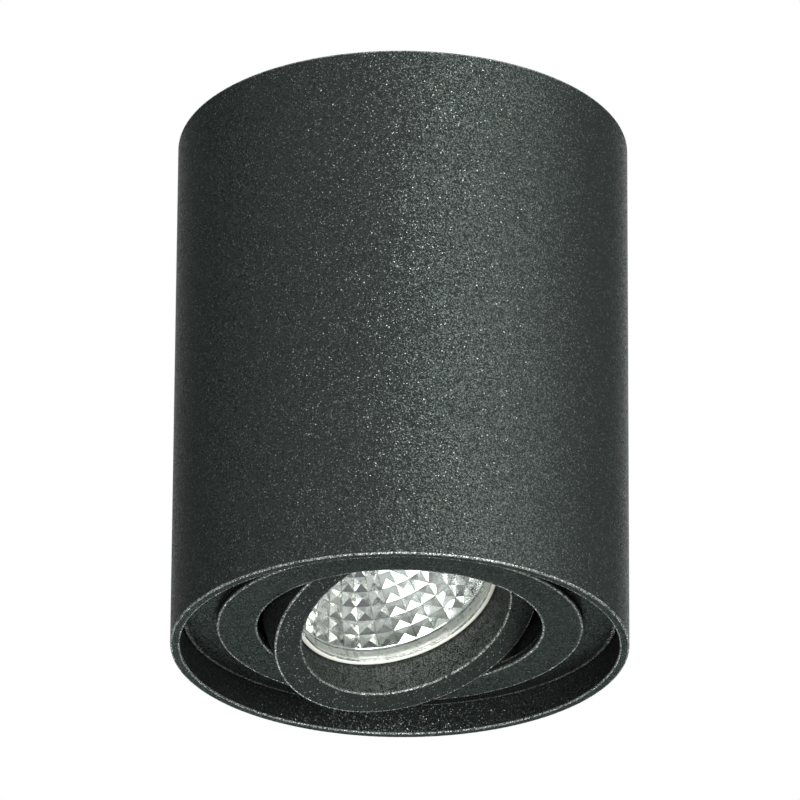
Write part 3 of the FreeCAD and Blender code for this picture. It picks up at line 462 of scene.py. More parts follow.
@dataclass(frozen=True)
class Ceramic:
    """Fired ceramic: pale, dense and slightly speckled."""

    slot: str
    colour: Colour = (0.78, 0.76, 0.70)
    speck: Colour = (0.45, 0.40, 0.33)
    speck_size: float = 0.5 * MM
    speck_range: Span = (0.965, 0.99)
    speck_share: float = 0.5
    fine: float = 0.2 * MM
    fine_rough: Span = (-0.08, 0.08)
    rough: float = 0.55
    relief: float = 0.2
    depth: float = 0.03 * MM

    def build(self) -> bpy.types.Material:
        """The ceramic, with a speck in a few of its cells.

        Returns:
            The material.
        """
        graph = Graph(self.slot)
        specks = graph.channels(graph.cells(self.speck_size)).out("Red").step(*self.speck_range)
        fine = graph.noise(self.fine, GRAINY, CRISP)
        return graph.finish({
            "Base Color": graph.blend(specks * self.speck_share, self.colour, self.speck),
            "Roughness": self.rough + fine.spread(*self.fine_rough),
            "Normal": graph.bump(fine, self.relief, self.depth),
        })


@dataclass(frozen=True)
class Mirror:
    """Aluminised glass of the lamp's bowl."""

    slot: str = BOWL
    colour: Colour = (0.785, 0.80, 0.79)
    rim: Colour = (0.88, 0.90, 0.83)
    seam: Colour = (0.52, 0.56, 0.53)
    seam_range: Span = (0.90, 0.98)
    haze: float = 1.5 * MM
    haze_rough: Span = (0.07, 0.13)
    fine: float = 0.5 * MM
    bare_dull: float = 0.85
    bare_rough: float = 0.25
    relief: float = 0.06
    depth: float = 0.03 * MM

    def build(self) -> bpy.types.Material:
        """The reflector: mirror inside, and frosted pressed glass where the bare attribute is 1.

        Returns:
            The material.
        """
        graph = Graph(self.slot)
        bare = graph.mark("bare")
        seam = graph.mark("seam").step(*self.seam_range)
        haze = graph.noise(self.haze, CLOUDY).spread(*self.haze_rough)
        fine = graph.noise(self.fine)
        return graph.finish({
            "Base Color": graph.blend(seam, graph.blend(bare, self.colour, self.rim), self.seam),
            "Metallic": 1.0 - bare * self.bare_dull,
            "Roughness": haze + bare * self.bare_rough,
            "Normal": graph.bump(fine, self.relief, self.depth),
        })


@dataclass(frozen=True)
class Glass:
    """Clear glass or quartz, with the faint waves of pressed glass."""

    slot: str
    colour: Colour = (0.96, 0.985, 0.975)
    refraction: float = 1.5
    wave: float = 7 * MM
    smear: float = 4 * MM
    smear_range: Span = (0.4, 0.8)
    smear_rough: float = 0.03
    relief: float = 0.05
    depth: float = 0.05 * MM

    def build(self) -> bpy.types.Material:
        """The glass, slightly smeared.

        Returns:
            The material.
        """
        graph = Graph(self.slot)
        wave = graph.noise(self.wave, 1.0)
        smear = graph.noise(self.smear, CLOUDY)
        return graph.finish({
            "Base Color": self.colour,
            "Roughness": smear.step(*self.smear_range, 0.0, self.smear_rough),
            "IOR": self.refraction,
            "Transmission Weight": 1.0,
            "Normal": graph.bump(wave, self.relief, self.depth),
        })


# ------------------------------------------------------------------ meshes
def rounded(corners: Sequence[Sequence[float]], steps: int = 5,
            band: float = 0.1) -> tuple[np.ndarray, np.ndarray]:
    """Rounds the corners of a closed outline.

    At each corner an arc of the corner's radius touches both its sides: it starts and ends the radius
    times the tangent of half the turn away from the corner, and its points lie at even angles. An arc
    that bulges outwards also gets a point on each side, a band's width away.

    Args:
        corners: (x, z, radius) of each corner, in order.
        steps: pieces of each arc.
        band: width beside a bulging arc over which its mark fades, in millimetres.

    Returns:
        The points, and for each point 1 on an arc that bulges outwards and 0 elsewhere.
    """
    data = np.array(corners, dtype=float)
    points = data[:, :2]
    area = np.sum(points[:, 0] * np.roll(points[:, 1], -1) - np.roll(points[:, 0], -1) * points[:, 1])
    if area < 0:
        data = data[::-1]
        points = points[::-1]
    arrive = points - np.roll(points, 1, axis=0)
    leave = np.roll(points, -1, axis=0) - points
    arrive /= np.linalg.norm(arrive, axis=1, keepdims=True)
    leave /= np.linalg.norm(leave, axis=1, keepdims=True)
    cross = arrive[:, 0] * leave[:, 1] - arrive[:, 1] * leave[:, 0]
    turn = np.arctan2(cross, np.sum(arrive * leave, axis=1))
    made: list[np.ndarray] = []
    marks: list[np.ndarray] = []
    for index in range(len(points)):
        radius = data[index, 2]
        if radius <= 0 or abs(turn[index]) < STRAIGHT:
            made.append(points[index][None])
            marks.append(np.zeros(1))
            continue
        reach = radius * math.tan(abs(turn[index]) / 2)
        side = math.copysign(1.0, turn[index])
        start = points[index] - arrive[index] * reach
        centre = start + side * radius * np.array([-arrive[index, 1], arrive[index, 0]])
        angles = np.linspace(0, turn[index], steps + 1)
        spoke = start - centre
        turned_x = spoke[0] * np.cos(angles) - spoke[1] * np.sin(angles)
        turned_z = spoke[0] * np.sin(angles) + spoke[1] * np.cos(angles)
        made.append(centre + np.stack([turned_x, turned_z], axis=1))
        marks.append(np.full(steps + 1, 1.0 if side > 0 else 0.0))
        if side > 0:
            before = start - arrive[index] * band
            after = made[-1][-1] + leave[index] * band
            made[-1] = np.concatenate([before[None], made[-1], after[None]])
            marks[-1] = np.concatenate([np.zeros(1), marks[-1], np.zeros(1)])
    return np.concatenate(made), np.concatenate(marks)


def turned_points(profile: np.ndarray, columns: int, first: float = 0.0) -> np.ndarray:
    """Turns the points of an outline about the Z axis.

    A point at radius x and height z goes to (x cos t, x sin t, z), with t in even steps of a full turn.

    Args:
        profile: points (x, z).
        columns: steps of the turn.
        first: angle of the first column, in radians.

    Returns:
        A row of columns for each point of the outline.
    """
    turn = np.arange(columns) * 2 * math.pi / columns + first
    radius = profile[:, 0, None]
    height = np.repeat(profile[:, 1, None], columns, axis=1)
    return np.stack([radius * np.cos(turn), radius * np.sin(turn), height], axis=-1)


def grid_faces(rows: int, columns: int, closed: bool) -> Faces:
    """Quads of a grid whose columns go round.

    Args:
        rows: rows of points.
        columns: columns of points.
        closed: whether the last row joins the first.

    Returns:
        Four point numbers for each quad.
    """
    last = rows if closed else rows - 1
    row, column = np.meshgrid(np.arange(last), np.arange(columns), indexing="ij")
    after = (row + 1) % rows
    beside = (column + 1) % columns
    quads = np.stack([row * columns + column, row * columns + beside, after * columns + beside,
                      after * columns + column], axis=-1)
    return quads.reshape(-1, 4).tolist()


def solid_turning(profile: np.ndarray, columns: int) -> tuple[np.ndarray, Faces]:
    """Turns an open outline about Z and closes it on the axis.

    The outline runs upwards on the outer side; its ends are joined to a point on the axis at their height.

    Args:
        profile: points (x, z) in millimetres, from the bottom to the top.
        columns: steps of the turn.

    Returns:
        Vertices in millimetres, and faces that face outwards.
    """
    skin = turned_points(profile, columns).reshape(-1, 3)
    foot = len(skin)
    vertices = np.concatenate([skin, [[0, 0, profile[0, 1]], [0, 0, profile[-1, 1]]]])
    faces = grid_faces(len(profile), columns, False)
    top = (len(profile) - 1) * columns
    for column in range(columns):
        beside = (column + 1) % columns
        faces.append([foot, beside, column])
        faces.append([foot + 1, top + column, top + beside])
    return vertices, faces


def add_piece(name: str, vertices: np.ndarray, faces: Faces, place: Matrix = Matrix(),
              marks: Union[dict[str, np.ndarray], None] = None, sharp: float = 32.0) -> bpy.types.Object:
    """Makes an object from vertices in millimetres.

    Args:
        name: the piece's name.
        vertices: points in its own frame.
        faces: point numbers of each face.
        place: where that frame is, in metres.
        marks: named values of the points, for the materials.
        sharp: edges that turn more than this many degrees stay sharp.

    Returns:
        The object, at the origin, with its place in its mesh.
    """
    mesh = bpy.data.meshes.new(name)
    spin = np.array(place.to_3x3())
    shift = np.array(place.translation)
    mesh.from_pydata((vertices * MM @ spin.T + shift).tolist(), [], faces)
    for mark, values in (marks or {}).items():
        data = mesh.attributes.new(mark, "FLOAT", "POINT").data
        data.foreach_set("value", values.astype(np.float32))
    mesh.polygons.foreach_set("use_smooth", np.ones(len(mesh.polygons), dtype=bool))
    mesh.set_sharp_from_angle(angle=math.radians(sharp))
    mesh.update()
    made = bpy.data.objects.new(name, mesh)
    bpy.context.scene.collection.objects.link(made)
    return made


def turned_ring(name: str, profile: np.ndarray, edge: np.ndarray,
                place: Matrix = Matrix()) -> bpy.types.Object:
    """Makes an object by turning a closed outline about the Z axis.

    Args:
        name: the piece's name.
        profile: points (x, z) in millimetres, anticlockwise.
        edge: each point's mark for the painted edge highlight.
        place: where the piece's own frame is, in metres.

    Returns:
        The object.
    """
    vertices = turned_points(profile, ROUND).reshape(-1, 3)
    faces = grid_faces(len(profile), ROUND, True)
    return add_piece(name, vertices, faces, place, {"edge": np.repeat(edge, ROUND)})


def combine(piece: bpy.types.Object, tool: bpy.types.Object, operation: str) -> None:
    """Adds a tool's solid to a piece or cuts it away, and removes the tool.

    Args:
        piece: the object that changes.
        tool: the other solid.
        operation: UNION or DIFFERENCE.
    """
    step = piece.modifiers.new("step", "BOOLEAN")
    step.operation = operation
    step.solver = "EXACT"
    step.object = tool
    graph = bpy.context.evaluated_depsgraph_get()
    mesh = bpy.data.meshes.new_from_object(piece.evaluated_get(graph), depsgraph=graph)
    piece.modifiers.clear()
    piece.data = mesh
    bpy.data.objects.remove(tool)


def drill(piece: bpy.types.Object, start: Vector, end: Vector, radius: float) -> None:
    """Cuts a round hole from a piece.

    Args:
        piece: the object to drill.
        start: one end of the hole's axis, in metres.
        end: its other end.
        radius: the hole's radius in millimetres.
    """
    axis = end - start
    outline = np.array([[radius, 0.0], [radius, axis.length / MM]])
    vertices, faces = solid_turning(outline, SLIM)
    turned = axis.to_track_quat("Z", "Y").to_matrix().to_4x4()
    combine(piece, add_piece("drill", vertices, faces, Matrix.Translation(start) @ turned), "DIFFERENCE")


def show(piece: bpy.types.Object, body: Body, finish: bpy.types.Material,
         nodes: Iterable[str]) -> None:
    """Gives a piece its material and its body, and hides the nodes that it stands for.

    Args:
        piece: the object.
        body: the body that it moves with.
        finish: its material.
        nodes: the nodes that it replaces.
    """
    piece.data.materials.clear()
    piece.data.materials.append(finish)
    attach(piece, body.value)
    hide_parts(*nodes)
    LOG.info("%s: %d faces on %s", piece.name, len(piece.data.polygons), body.value)


# ------------------------------------------------------------------ sub-assemblies
@dataclass
class Finishes:
    """Every material of the light, by slot."""

    made: dict[str, bpy.types.Material] = field(default_factory=dict)

    def build(self) -> None:
        """Makes the materials."""
        finishes = [
            SparklingCoat(),
            Zinc("galvanised_steel"),
            Metal("zinc_screws", (0.60, 0.61, 0.60), 0.30),
            Metal("spring_steel", (0.42, 0.43, 0.46), 0.26, streak=0.05),
            Moulding("black_rubber", (0.022, 0.022, 0.023), 0.62, 0.5 * MM, 0.35),
            Moulding("terminal_plastic", (0.80, 0.79, 0.74), 0.42, 0.3 * MM, 0.12),
            Metal("clamp_brass", (0.78, 0.58, 0.27), 0.30),
            Metal("clamp_screw_steel", (0.55, 0.55, 0.55), 0.34),
            Moulding("slip_nylon", (0.74, 0.73, 0.68), 0.38, 0.4 * MM, 0.10),
            Mirror(),
            Glass("cover_glass", refraction=1.48),
            Glass("quartz", (0.97, 0.97, 0.97), 1.46),
            Ceramic("white_ceramic"),
            Metal("nickel_contact", (0.70, 0.67, 0.62), 0.18),
            Moulding("insulating_board", (0.60, 0.54, 0.40), 0.65, 0.6 * MM, 0.4),
        ]
        for finish in finishes:
            self.made[finish.slot] = finish.build()

    def dress(self, nodes: dict[str, bpy.types.Object], subparts: list[dict], replaced: set[str]) -> None:
        """Gives each node that stays its slot's material.

        Args:
            nodes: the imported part's objects by name.
            subparts: the record's list of nodes and slots.
            replaced: nodes that a piece stands for.
        """
        for row in subparts:
            if row["node"] in replaced:
                continue
            mesh = nodes[row["node"]].data
            for index in range(len(mesh.materials)):
                mesh.materials[index] = self.made[row["material_slot"]]
            if not mesh.materials:
                mesh.materials.append(self.made[row["material_slot"]])
            LOG.info("%s keeps its solid, in %s", row["node"], row["material_slot"])


@dataclass
class Housing:
    """The tube that hangs from the ceiling, and the ring that is clipped into its mouth."""

    radius: float
    height: float
    wall: float = 2.3
    rim_round: float = 0.35
    groove_depth: float = 0.7
    groove_width: float = 4.4
    groove_rise: float = 25.5
    screw_drop: float = 8.0
    screw_radius: float = 2.05
    screw_margin: float = 0.4
    frame_recess: float = 7.0
    frame_gap: float = 0.4
    frame_plate: float = 2.0
    bright_edge: float = 1.2
    edge_margin: float = 0.1
    edge_fade: float = 0.25
    skirt: float = 2.0
    skirt_height: float = 10.0
    sleeve_bore: float = 38.9
    sleeve: float = 2.2
    sleeve_height: float = 9.0
    end_round: float = 0.2
    root_round: float = 0.4

    def tube(self) -> bpy.types.Object:
        """The housing tube: its wall's outline turned about Z, with rounded edges and a clip groove.

        Rows of points above and below the screw holes keep the drilled wall smooth.

        Returns:
            The piece, drilled for the side screws.
        """
        bore = self.radius - self.wall
        rim = -self.height
        low = rim + self.groove_rise - self.groove_width / 2
        high = rim + self.groove_rise + self.groove_width / 2
        margin = self.screw_radius + self.screw_margin
        over = margin - self.screw_drop
        under = -margin - self.screw_drop
        deep = bore + self.groove_depth
        bevel = self.rim_round
        profile, edge = rounded([
            (self.radius, rim, bevel), (self.radius, under, 0), (self.radius, over, 0),
            (self.radius, 0, bevel), (bore, 0, bevel), (bore, over, 0), (bore, under, 0),
            (bore, high, 0), (deep, high, 0), (deep, low, 0), (bore, low, 0), (bore, rim, bevel)])
        piece = turned_ring("housing_tube", profile, edge)
        for side in (-1, 1):
            start = Vector((side * (bore - PAST) * MM, 0, -self.screw_drop * MM))
            end = Vector((side * (self.radius + PAST) * MM, 0, start.z))
            drill(piece, start, end, self.screw_radius)
        return piece

    def frame_ring(self) -> bpy.types.Object:
        """The ring in the tube's mouth: face plate, outer skirt and inner sleeve in one outline.

        Returns:
            The piece, with a painted highlight, a bright line, marked along the outside of its face.
        """
        face = self.frame_recess - self.height
        outer = self.radius - self.wall - self.frame_gap
        inner = outer - self.skirt
        sleeve = self.sleeve_bore + self.sleeve
        line = outer - self.bright_edge
        plate_top = face + self.frame_plate
        skirt_top = face + self.skirt_height
        sleeve_top = face + self.sleeve_height
        end = self.end_round
        root = self.root_round
        profile, edge = rounded([
            (self.sleeve_bore, face, end), (line, face, 0), (outer, face, self.rim_round),
            (outer, skirt_top, end), (inner, skirt_top, end), (inner, plate_top, root),
            (sleeve, plate_top, root), (sleeve, sleeve_top, end),
            (self.sleeve_bore, sleeve_top, end)], band=self.edge_fade)
        # Painted highlight: the face's band next to its outer edge gets the full edge mark and shows as a
        # bright line.
        on_edge = np.isclose(profile[:, 1], face) & (profile[:, 0] > line + self.edge_margin)
        return turned_ring("recessed_ring", profile, np.where(on_edge, 1.0, edge))


@dataclass
class Swivel:
    """The ring that turns about Z and carries the tilt pins in two bosses."""

    face: float
    radius: float
    tilt_axis: float
    azimuth: float
    opening: float = 33.5
    plate: float = 2.0
    collar_bore: float = 36.2
    collar: float = 2.6
    collar_height: float = 18.7
    groove_low: float = 12.2
    groove_high: float = 13.5
    groove_depth: float = 0.8
    boss_width: float = 10.0
    pin_radius: float = 1.55
    face_round: float = 0.3
    back_round: float = 0.15
    end_round: float = 0.2
    edge_fade: float = 0.4

    def ring(self) -> bpy.types.Object:
        """Flange and collar turned from one outline, with a boss for each tilt pin.

        Returns:
            The piece, drilled for the tilt pins.
        """
        back = self.face + self.plate
        outer = self.collar_bore + self.collar
        low = self.face + self.groove_low
        high = self.face + self.groove_high
        top = self.face + self.collar_height
        floor = outer - self.groove_depth
        bevel = self.face_round
        end_round = self.end_round
        profile, edge = rounded([
            (self.opening, self.face, bevel), (self.radius, self.face, bevel),
            (self.radius, back, self.back_round), (outer, back, 0), (outer, low, 0), (floor, low, 0),
            (floor, high, 0), (outer, high, 0), (outer, top, end_round),
            (self.collar_bore, top, end_round), (self.collar_bore, back, bevel),
            (self.opening, back, bevel)], band=self.edge_fade)
        place = Matrix.Rotation(self.azimuth, 4, "Z")
        piece = turned_ring("swivel_plate", profile, edge, place)
        for side in (-1, 1):
            block, sides = self.boss(side, back)
            boss = add_piece("boss", block, sides, place, {"edge": np.zeros(len(block))})
            combine(piece, boss, "UNION")
            start = place @ Vector((side * (self.opening - PAST) * MM, 0, self.tilt_axis * MM))
            end = place @ Vector((side * (outer + PAST) * MM, 0, self.tilt_axis * MM))
            drill(piece, start, end, self.pin_radius)
        return piece

    def boss(self, side: int, back: float) -> tuple[np.ndarray, Faces]:
        """A block between the flange and the collar for one tilt pin.

        Its long sides are flat, its inner end is flat too, and its outer end lies inside the collar.

        Args:
            side: 1 or -1, the end of the tilt axis.
            back: height of the flange's back.

        Returns:
            Its corners in millimetres, and quads that face outwards.
        """
        half = self.boss_width / 2
        low = back - self.plate / 2
        high = self.tilt_axis + half
        near = self.opening
        far = self.collar_bore + self.collar / 2
        outline = ((near, -half), (far, -half), (far, half), (near, half))
        corners = np.array([[x, y, z] for z in (low, high) for x, y in outline])
        quads = [[0, 3, 2, 1], [4, 5, 6, 7], [0, 1, 5, 4], [1, 2, 6, 5], [2, 3, 7, 6], [3, 0, 4, 7]]
        if side < 0:
            corners[:, :2] *= -1
        return corners, quads


@dataclass
class LampUnit:
    """The lamp ring on its tilt pins, and the reflector lamp in it.

    Pieces are drawn about the tilt axis: X is that axis and +Z the way that the light goes. The lamp's own
    measures are radii, and depths behind its front. Wall_shine is painted light on the ring's bore, a share
    of the edge mark that makes the bore paler in place of the light that falls on it, and frost the bare
    mark of the frosted band in front of the bowl."""

    place: Matrix
    bore: float = 25.4
    radius: float = 32.1
    front: float = 5.46
    back: float = 5.34
    edge_round: float = 0.4
    back_round: float = 0.2
    wall_shine: float = 0.48
    flat: float = 31.7
    flat_radius: float = 4.3
    recess: float = 8.8
    lamp_radius: float = 25.0
    rim_round: float = 0.3
    rim_middle: float = 0.09
    glass_radius: float = 24.05
    glass_lip: float = 0.15
    glass_play: float = 0.1
    glass_round: float = 0.15
    glass: float = 2.0
    band_radius: float = 23.6
    rim_depth: float = 7.0
    bowl_start: float = 5.0
    frost_start: float = 4.1
    frost_fade: float = 0.1
    frost: float = 0.75
    bowl_end: float = 31.0
    bowl_land: float = 0.8
    bowl_inset: float = 0.1
    throat_edge: float = 0.3
    neck_radius: float = 11.5
    throat_radius: float = 7.7
    back_rows: int = 12
    facets_round: int = 32
    facet_rows: int = 8
    facet_lift: float = 0.45
    facet_turn: float = 2.8
    facet_steps: int = 4
    facet_sharp: float = 6.0
    capsule_radius: float = 4.5
    capsule_wall: float = 1.0
    capsule_front: float = 14.0
    capsule_end: float = 37.0
    capsule_floor: float = 6.0
    tip_height: float = 0.8
    tip_steps: int = 8

    def ring(self) -> bpy.types.Object:
        """The lamp ring, with a flat faced into each side for the tilt pin's washer.

        Returns:
            The piece, with painted light on its bore: the bore gets part of the edge mark, so the coat is
            paler there.
        """
        bevel = self.edge_round
        profile, edge = rounded([
            (self.bore, -self.back, self.back_round), (self.radius, -self.back, bevel),
            (self.radius, self.front, bevel), (self.bore, self.front, bevel)])
        # Painted light: the bore's points get at least wall_shine of the edge mark, so the coat there is
        # paler.
        on_bore = np.isclose(profile[:, 0], self.bore)
        edge = np.where(on_bore, np.maximum(edge, self.wall_shine), edge)
        piece = turned_ring("lamp_collar", profile, edge, self.place)
        for side in (-1, 1):
            start = self.place @ Vector((side * self.flat * MM, 0, 0))
            end = self.place @ Vector((side * (self.radius + 2 * PAST) * MM, 0, 0))
            drill(piece, start, end, self.flat_radius)
        return piece

    def deep(self, depth: Union[float, np.ndarray]) -> Union[float, np.ndarray]:
        """Height of a point that lies a depth behind the lamp's front."""
        return self.front - self.recess - depth

    def bowl(self) -> tuple[np.ndarray, np.ndarray]:
        """The faceted inside of the bowl.

        The facets' corners lie on a paraboloid, where the squared radius falls in step with the depth.
        Each facet is a raised pyramid. A point of it lies on the line from the pyramid's top to the point
        of the facet's border in the same direction, at the same share of that line as in the flat square.

        Returns:
            Points in rows from the front to the back, and for each point its share: 0 at a pyramid's top
            and 1 at its border.
        """
        columns = self.facets_round * self.facet_steps
        count = self.facet_rows * self.facet_steps + 1
        row = np.arange(count)[:, None]
        column = np.arange(columns)[None, :]
        ring = np.minimum(row // self.facet_steps, self.facet_rows - 1)
        across = (column % self.facet_steps) / self.facet_steps + 0 * row
        along = (row - ring * self.facet_steps) / self.facet_steps + 0 * column
        share = np.maximum(np.abs(2 * across - 1), np.abs(2 * along - 1))
        safe = np.where(share == 0, 1, share)

        def point(rings: np.ndarray, turns: np.ndarray, lift: float) -> np.ndarray:
            """Points of the paraboloid.

            Args:
                rings: facets from the front.
                turns: facets round from the first column.
                lift: how far they are moved in, in millimetres.

            Returns:
                The points, in millimetres.
            """
            depth = rings / self.facet_rows
            first = (self.band_radius - self.bowl_inset) ** 2
            last = (self.throat_radius + self.throat_edge) ** 2
            radius = np.sqrt(first * (1 - depth) + last * depth) - lift
            angle = turns * 2 * math.pi / self.facets_round + math.radians(self.facet_turn)
            reach = self.bowl_end - self.bowl_land - self.bowl_start
            height = self.deep(self.bowl_start) - reach * depth + 0 * angle
            return np.stack([radius * np.cos(angle), radius * np.sin(angle), height], axis=-1)

        start = column // self.facet_steps + 0 * row
        ring = ring + 0 * column
        side = (0.5 + (across - 0.5) / safe)[..., None]
        down = (0.5 + (along - 0.5) / safe)[..., None]
        border = ((1 - side) * (1 - down) * point(ring, start, 0)
                  + side * (1 - down) * point(ring, start + 1, 0)
                  + (1 - side) * down * point(ring + 1, start, 0)
                  + side * down * point(ring + 1, start + 1, 0))
        top = point(ring + 0.5, start + 0.5, self.facet_lift)
        return top + share[..., None] * (border - top), share

    def reflector(self) -> bpy.types.Object:
        """The reflector: a turned rim and back, and the faceted bowl, in one closed mesh.

        The back is a paraboloid like the bowl. Each quad of the bowl is split along the line that runs
        towards its pyramid's top.

        Returns:
            The piece, with the marks bare for bare glass and seam for the facets' borders.
        """
        columns = self.facets_round * self.facet_steps
        share = np.linspace(0, 1, self.back_rows)
        back_radius = np.sqrt(self.lamp_radius ** 2 * (1 - share) + self.neck_radius ** 2 * share)
        back_depth = self.rim_depth + (self.bowl_end - self.rim_depth) * share
        before = [
            (self.band_radius, self.bowl_start), (self.band_radius, self.frost_start + self.frost_fade),
            (self.band_radius, self.frost_start), (self.band_radius, self.glass),
            (self.glass_radius, self.glass), (self.glass_radius, self.glass_lip),
            (self.glass_radius + self.glass_lip, 0), (self.lamp_radius - self.rim_round, 0),
            (self.lamp_radius - self.rim_middle, self.rim_middle), (self.lamp_radius, self.rim_round)]
        after = [(self.throat_radius, self.bowl_end), (self.throat_radius, self.bowl_end - self.bowl_land)]
        outer = np.array(before + list(zip(back_radius, back_depth)) + after)
        outline = np.stack([outer[:, 0], self.deep(outer[:, 1])], axis=1)
        skin = turned_points(outline, columns, math.radians(self.facet_turn))
        bowl, border = self.bowl()
        rows = len(bowl)
        points = np.concatenate([bowl[::-1], skin])
        half = self.facet_steps / 2
        faces: Faces = []
        for number, quad in enumerate(grid_faces(len(points), columns, True)):
            row, column = divmod(number, columns)
            if row >= rows - 1:
                faces.append(quad)
                continue
            along = (rows - 2 - row) % self.facet_steps
            across = column % self.facet_steps
            first, second, third, fourth = quad
            if (across < half) == (along < half):
                faces += [[first, second, fourth], [second, third, fourth]]
            else:
                faces += [[first, second, third], [first, third, fourth]]
        bare = np.zeros(points.shape[:2])
        bare[rows + 2:rows + 4] = self.frost
        bare[rows + 4:] = 1.0
        seam = np.zeros(points.shape[:2])
        seam[:rows] = border[::-1]
        marks = {"bare": bare.reshape(-1), "seam": seam.reshape(-1)}
        vertices = points.reshape(-1, 3)
        return add_piece("lamp_bowl", vertices, faces, self.place, marks, self.facet_sharp)

    def cover(self) -> bpy.types.Object:
        """The cover glass, a disc with softly rounded edges.

        Returns:
            The piece.
        """
        outer = self.glass_radius - self.glass_play
        inner = outer - self.glass_round
        back = self.deep(self.glass)
        front = self.deep(0)
        outline = np.array([
            (inner, back), (outer, back + self.glass_round), (outer, front - self.glass_round),
            (inner, front)])
        vertices, faces = solid_turning(outline, ROUND // 2)
        return add_piece("front_glass", vertices, faces, self.place)

    def tipped(self, radius: float, foot: float, dome: float, rise: float) -> np.ndarray:
        """Outline of a rod with a rounded tip.

        The tip's point at the angle t is (radius cos t, dome + rise sin t).

        Args:
            radius: the rod's radius.
            foot: height of its end.
            dome: height where the tip starts.
            rise: height of the tip.

        Returns:
            Points (x, z) from the foot to the tip.
        """
        turn = np.linspace(0, math.pi / 2, self.tip_steps + 1)[:-1]
        tip = np.stack([radius * np.cos(turn), dome + rise * np.sin(turn)], axis=1)
        return np.concatenate([[(radius, foot)], tip])

    def capsule(self) -> bpy.types.Object:
        """The quartz capsule: a thick tube with a rounded tip, hollow inside.

        Returns:
            The piece.
        """
        outer = self.capsule_radius
        base = self.deep(self.capsule_end)
        rise = outer * self.tip_height
        dome = self.deep(self.capsule_front) - rise
        shell = self.tipped(outer, base, dome, rise)
        hollow = self.tipped(outer - self.capsule_wall, base + self.capsule_floor, dome,
                             rise - self.capsule_wall)
        vertices, faces = solid_turning(shell, SLIM)
        inside, lining = solid_turning(hollow, SLIM)
        faces += [[number + len(vertices) for number in reversed(face)] for face in lining]
        vertices = np.concatenate([vertices, inside])
        return add_piece("quartz_capsule", vertices, faces, self.place)


# ------------------------------------------------------------------ studio
@dataclass(frozen=True)
class Softbox:
    """An area light that is aimed at the subject: its place and size in metres, its power in watts."""

    name: str
    place: tuple[float, float, float]
    size: tuple[float, float]
    power: float
    colour: Colour = (1.0, 1.0, 1.0)

    def build(self, target: Vector) -> None:
        """Puts the light in the scene.

        Args:
            target: the point that it faces.
        """
        data = bpy.data.lights.new(self.name, "AREA")
        data.shape = "RECTANGLE"
        data.size, data.size_y = self.size
        data.energy = self.power
        data.color = self.colour
        made = bpy.data.objects.new(self.name, data)
        place = Vector(self.place)
        turned = (target - place).to_track_quat("-Z", "Y").to_matrix().to_4x4()
        made.matrix_world = Matrix.Translation(place) @ turned
        bpy.context.scene.collection.objects.link(made)


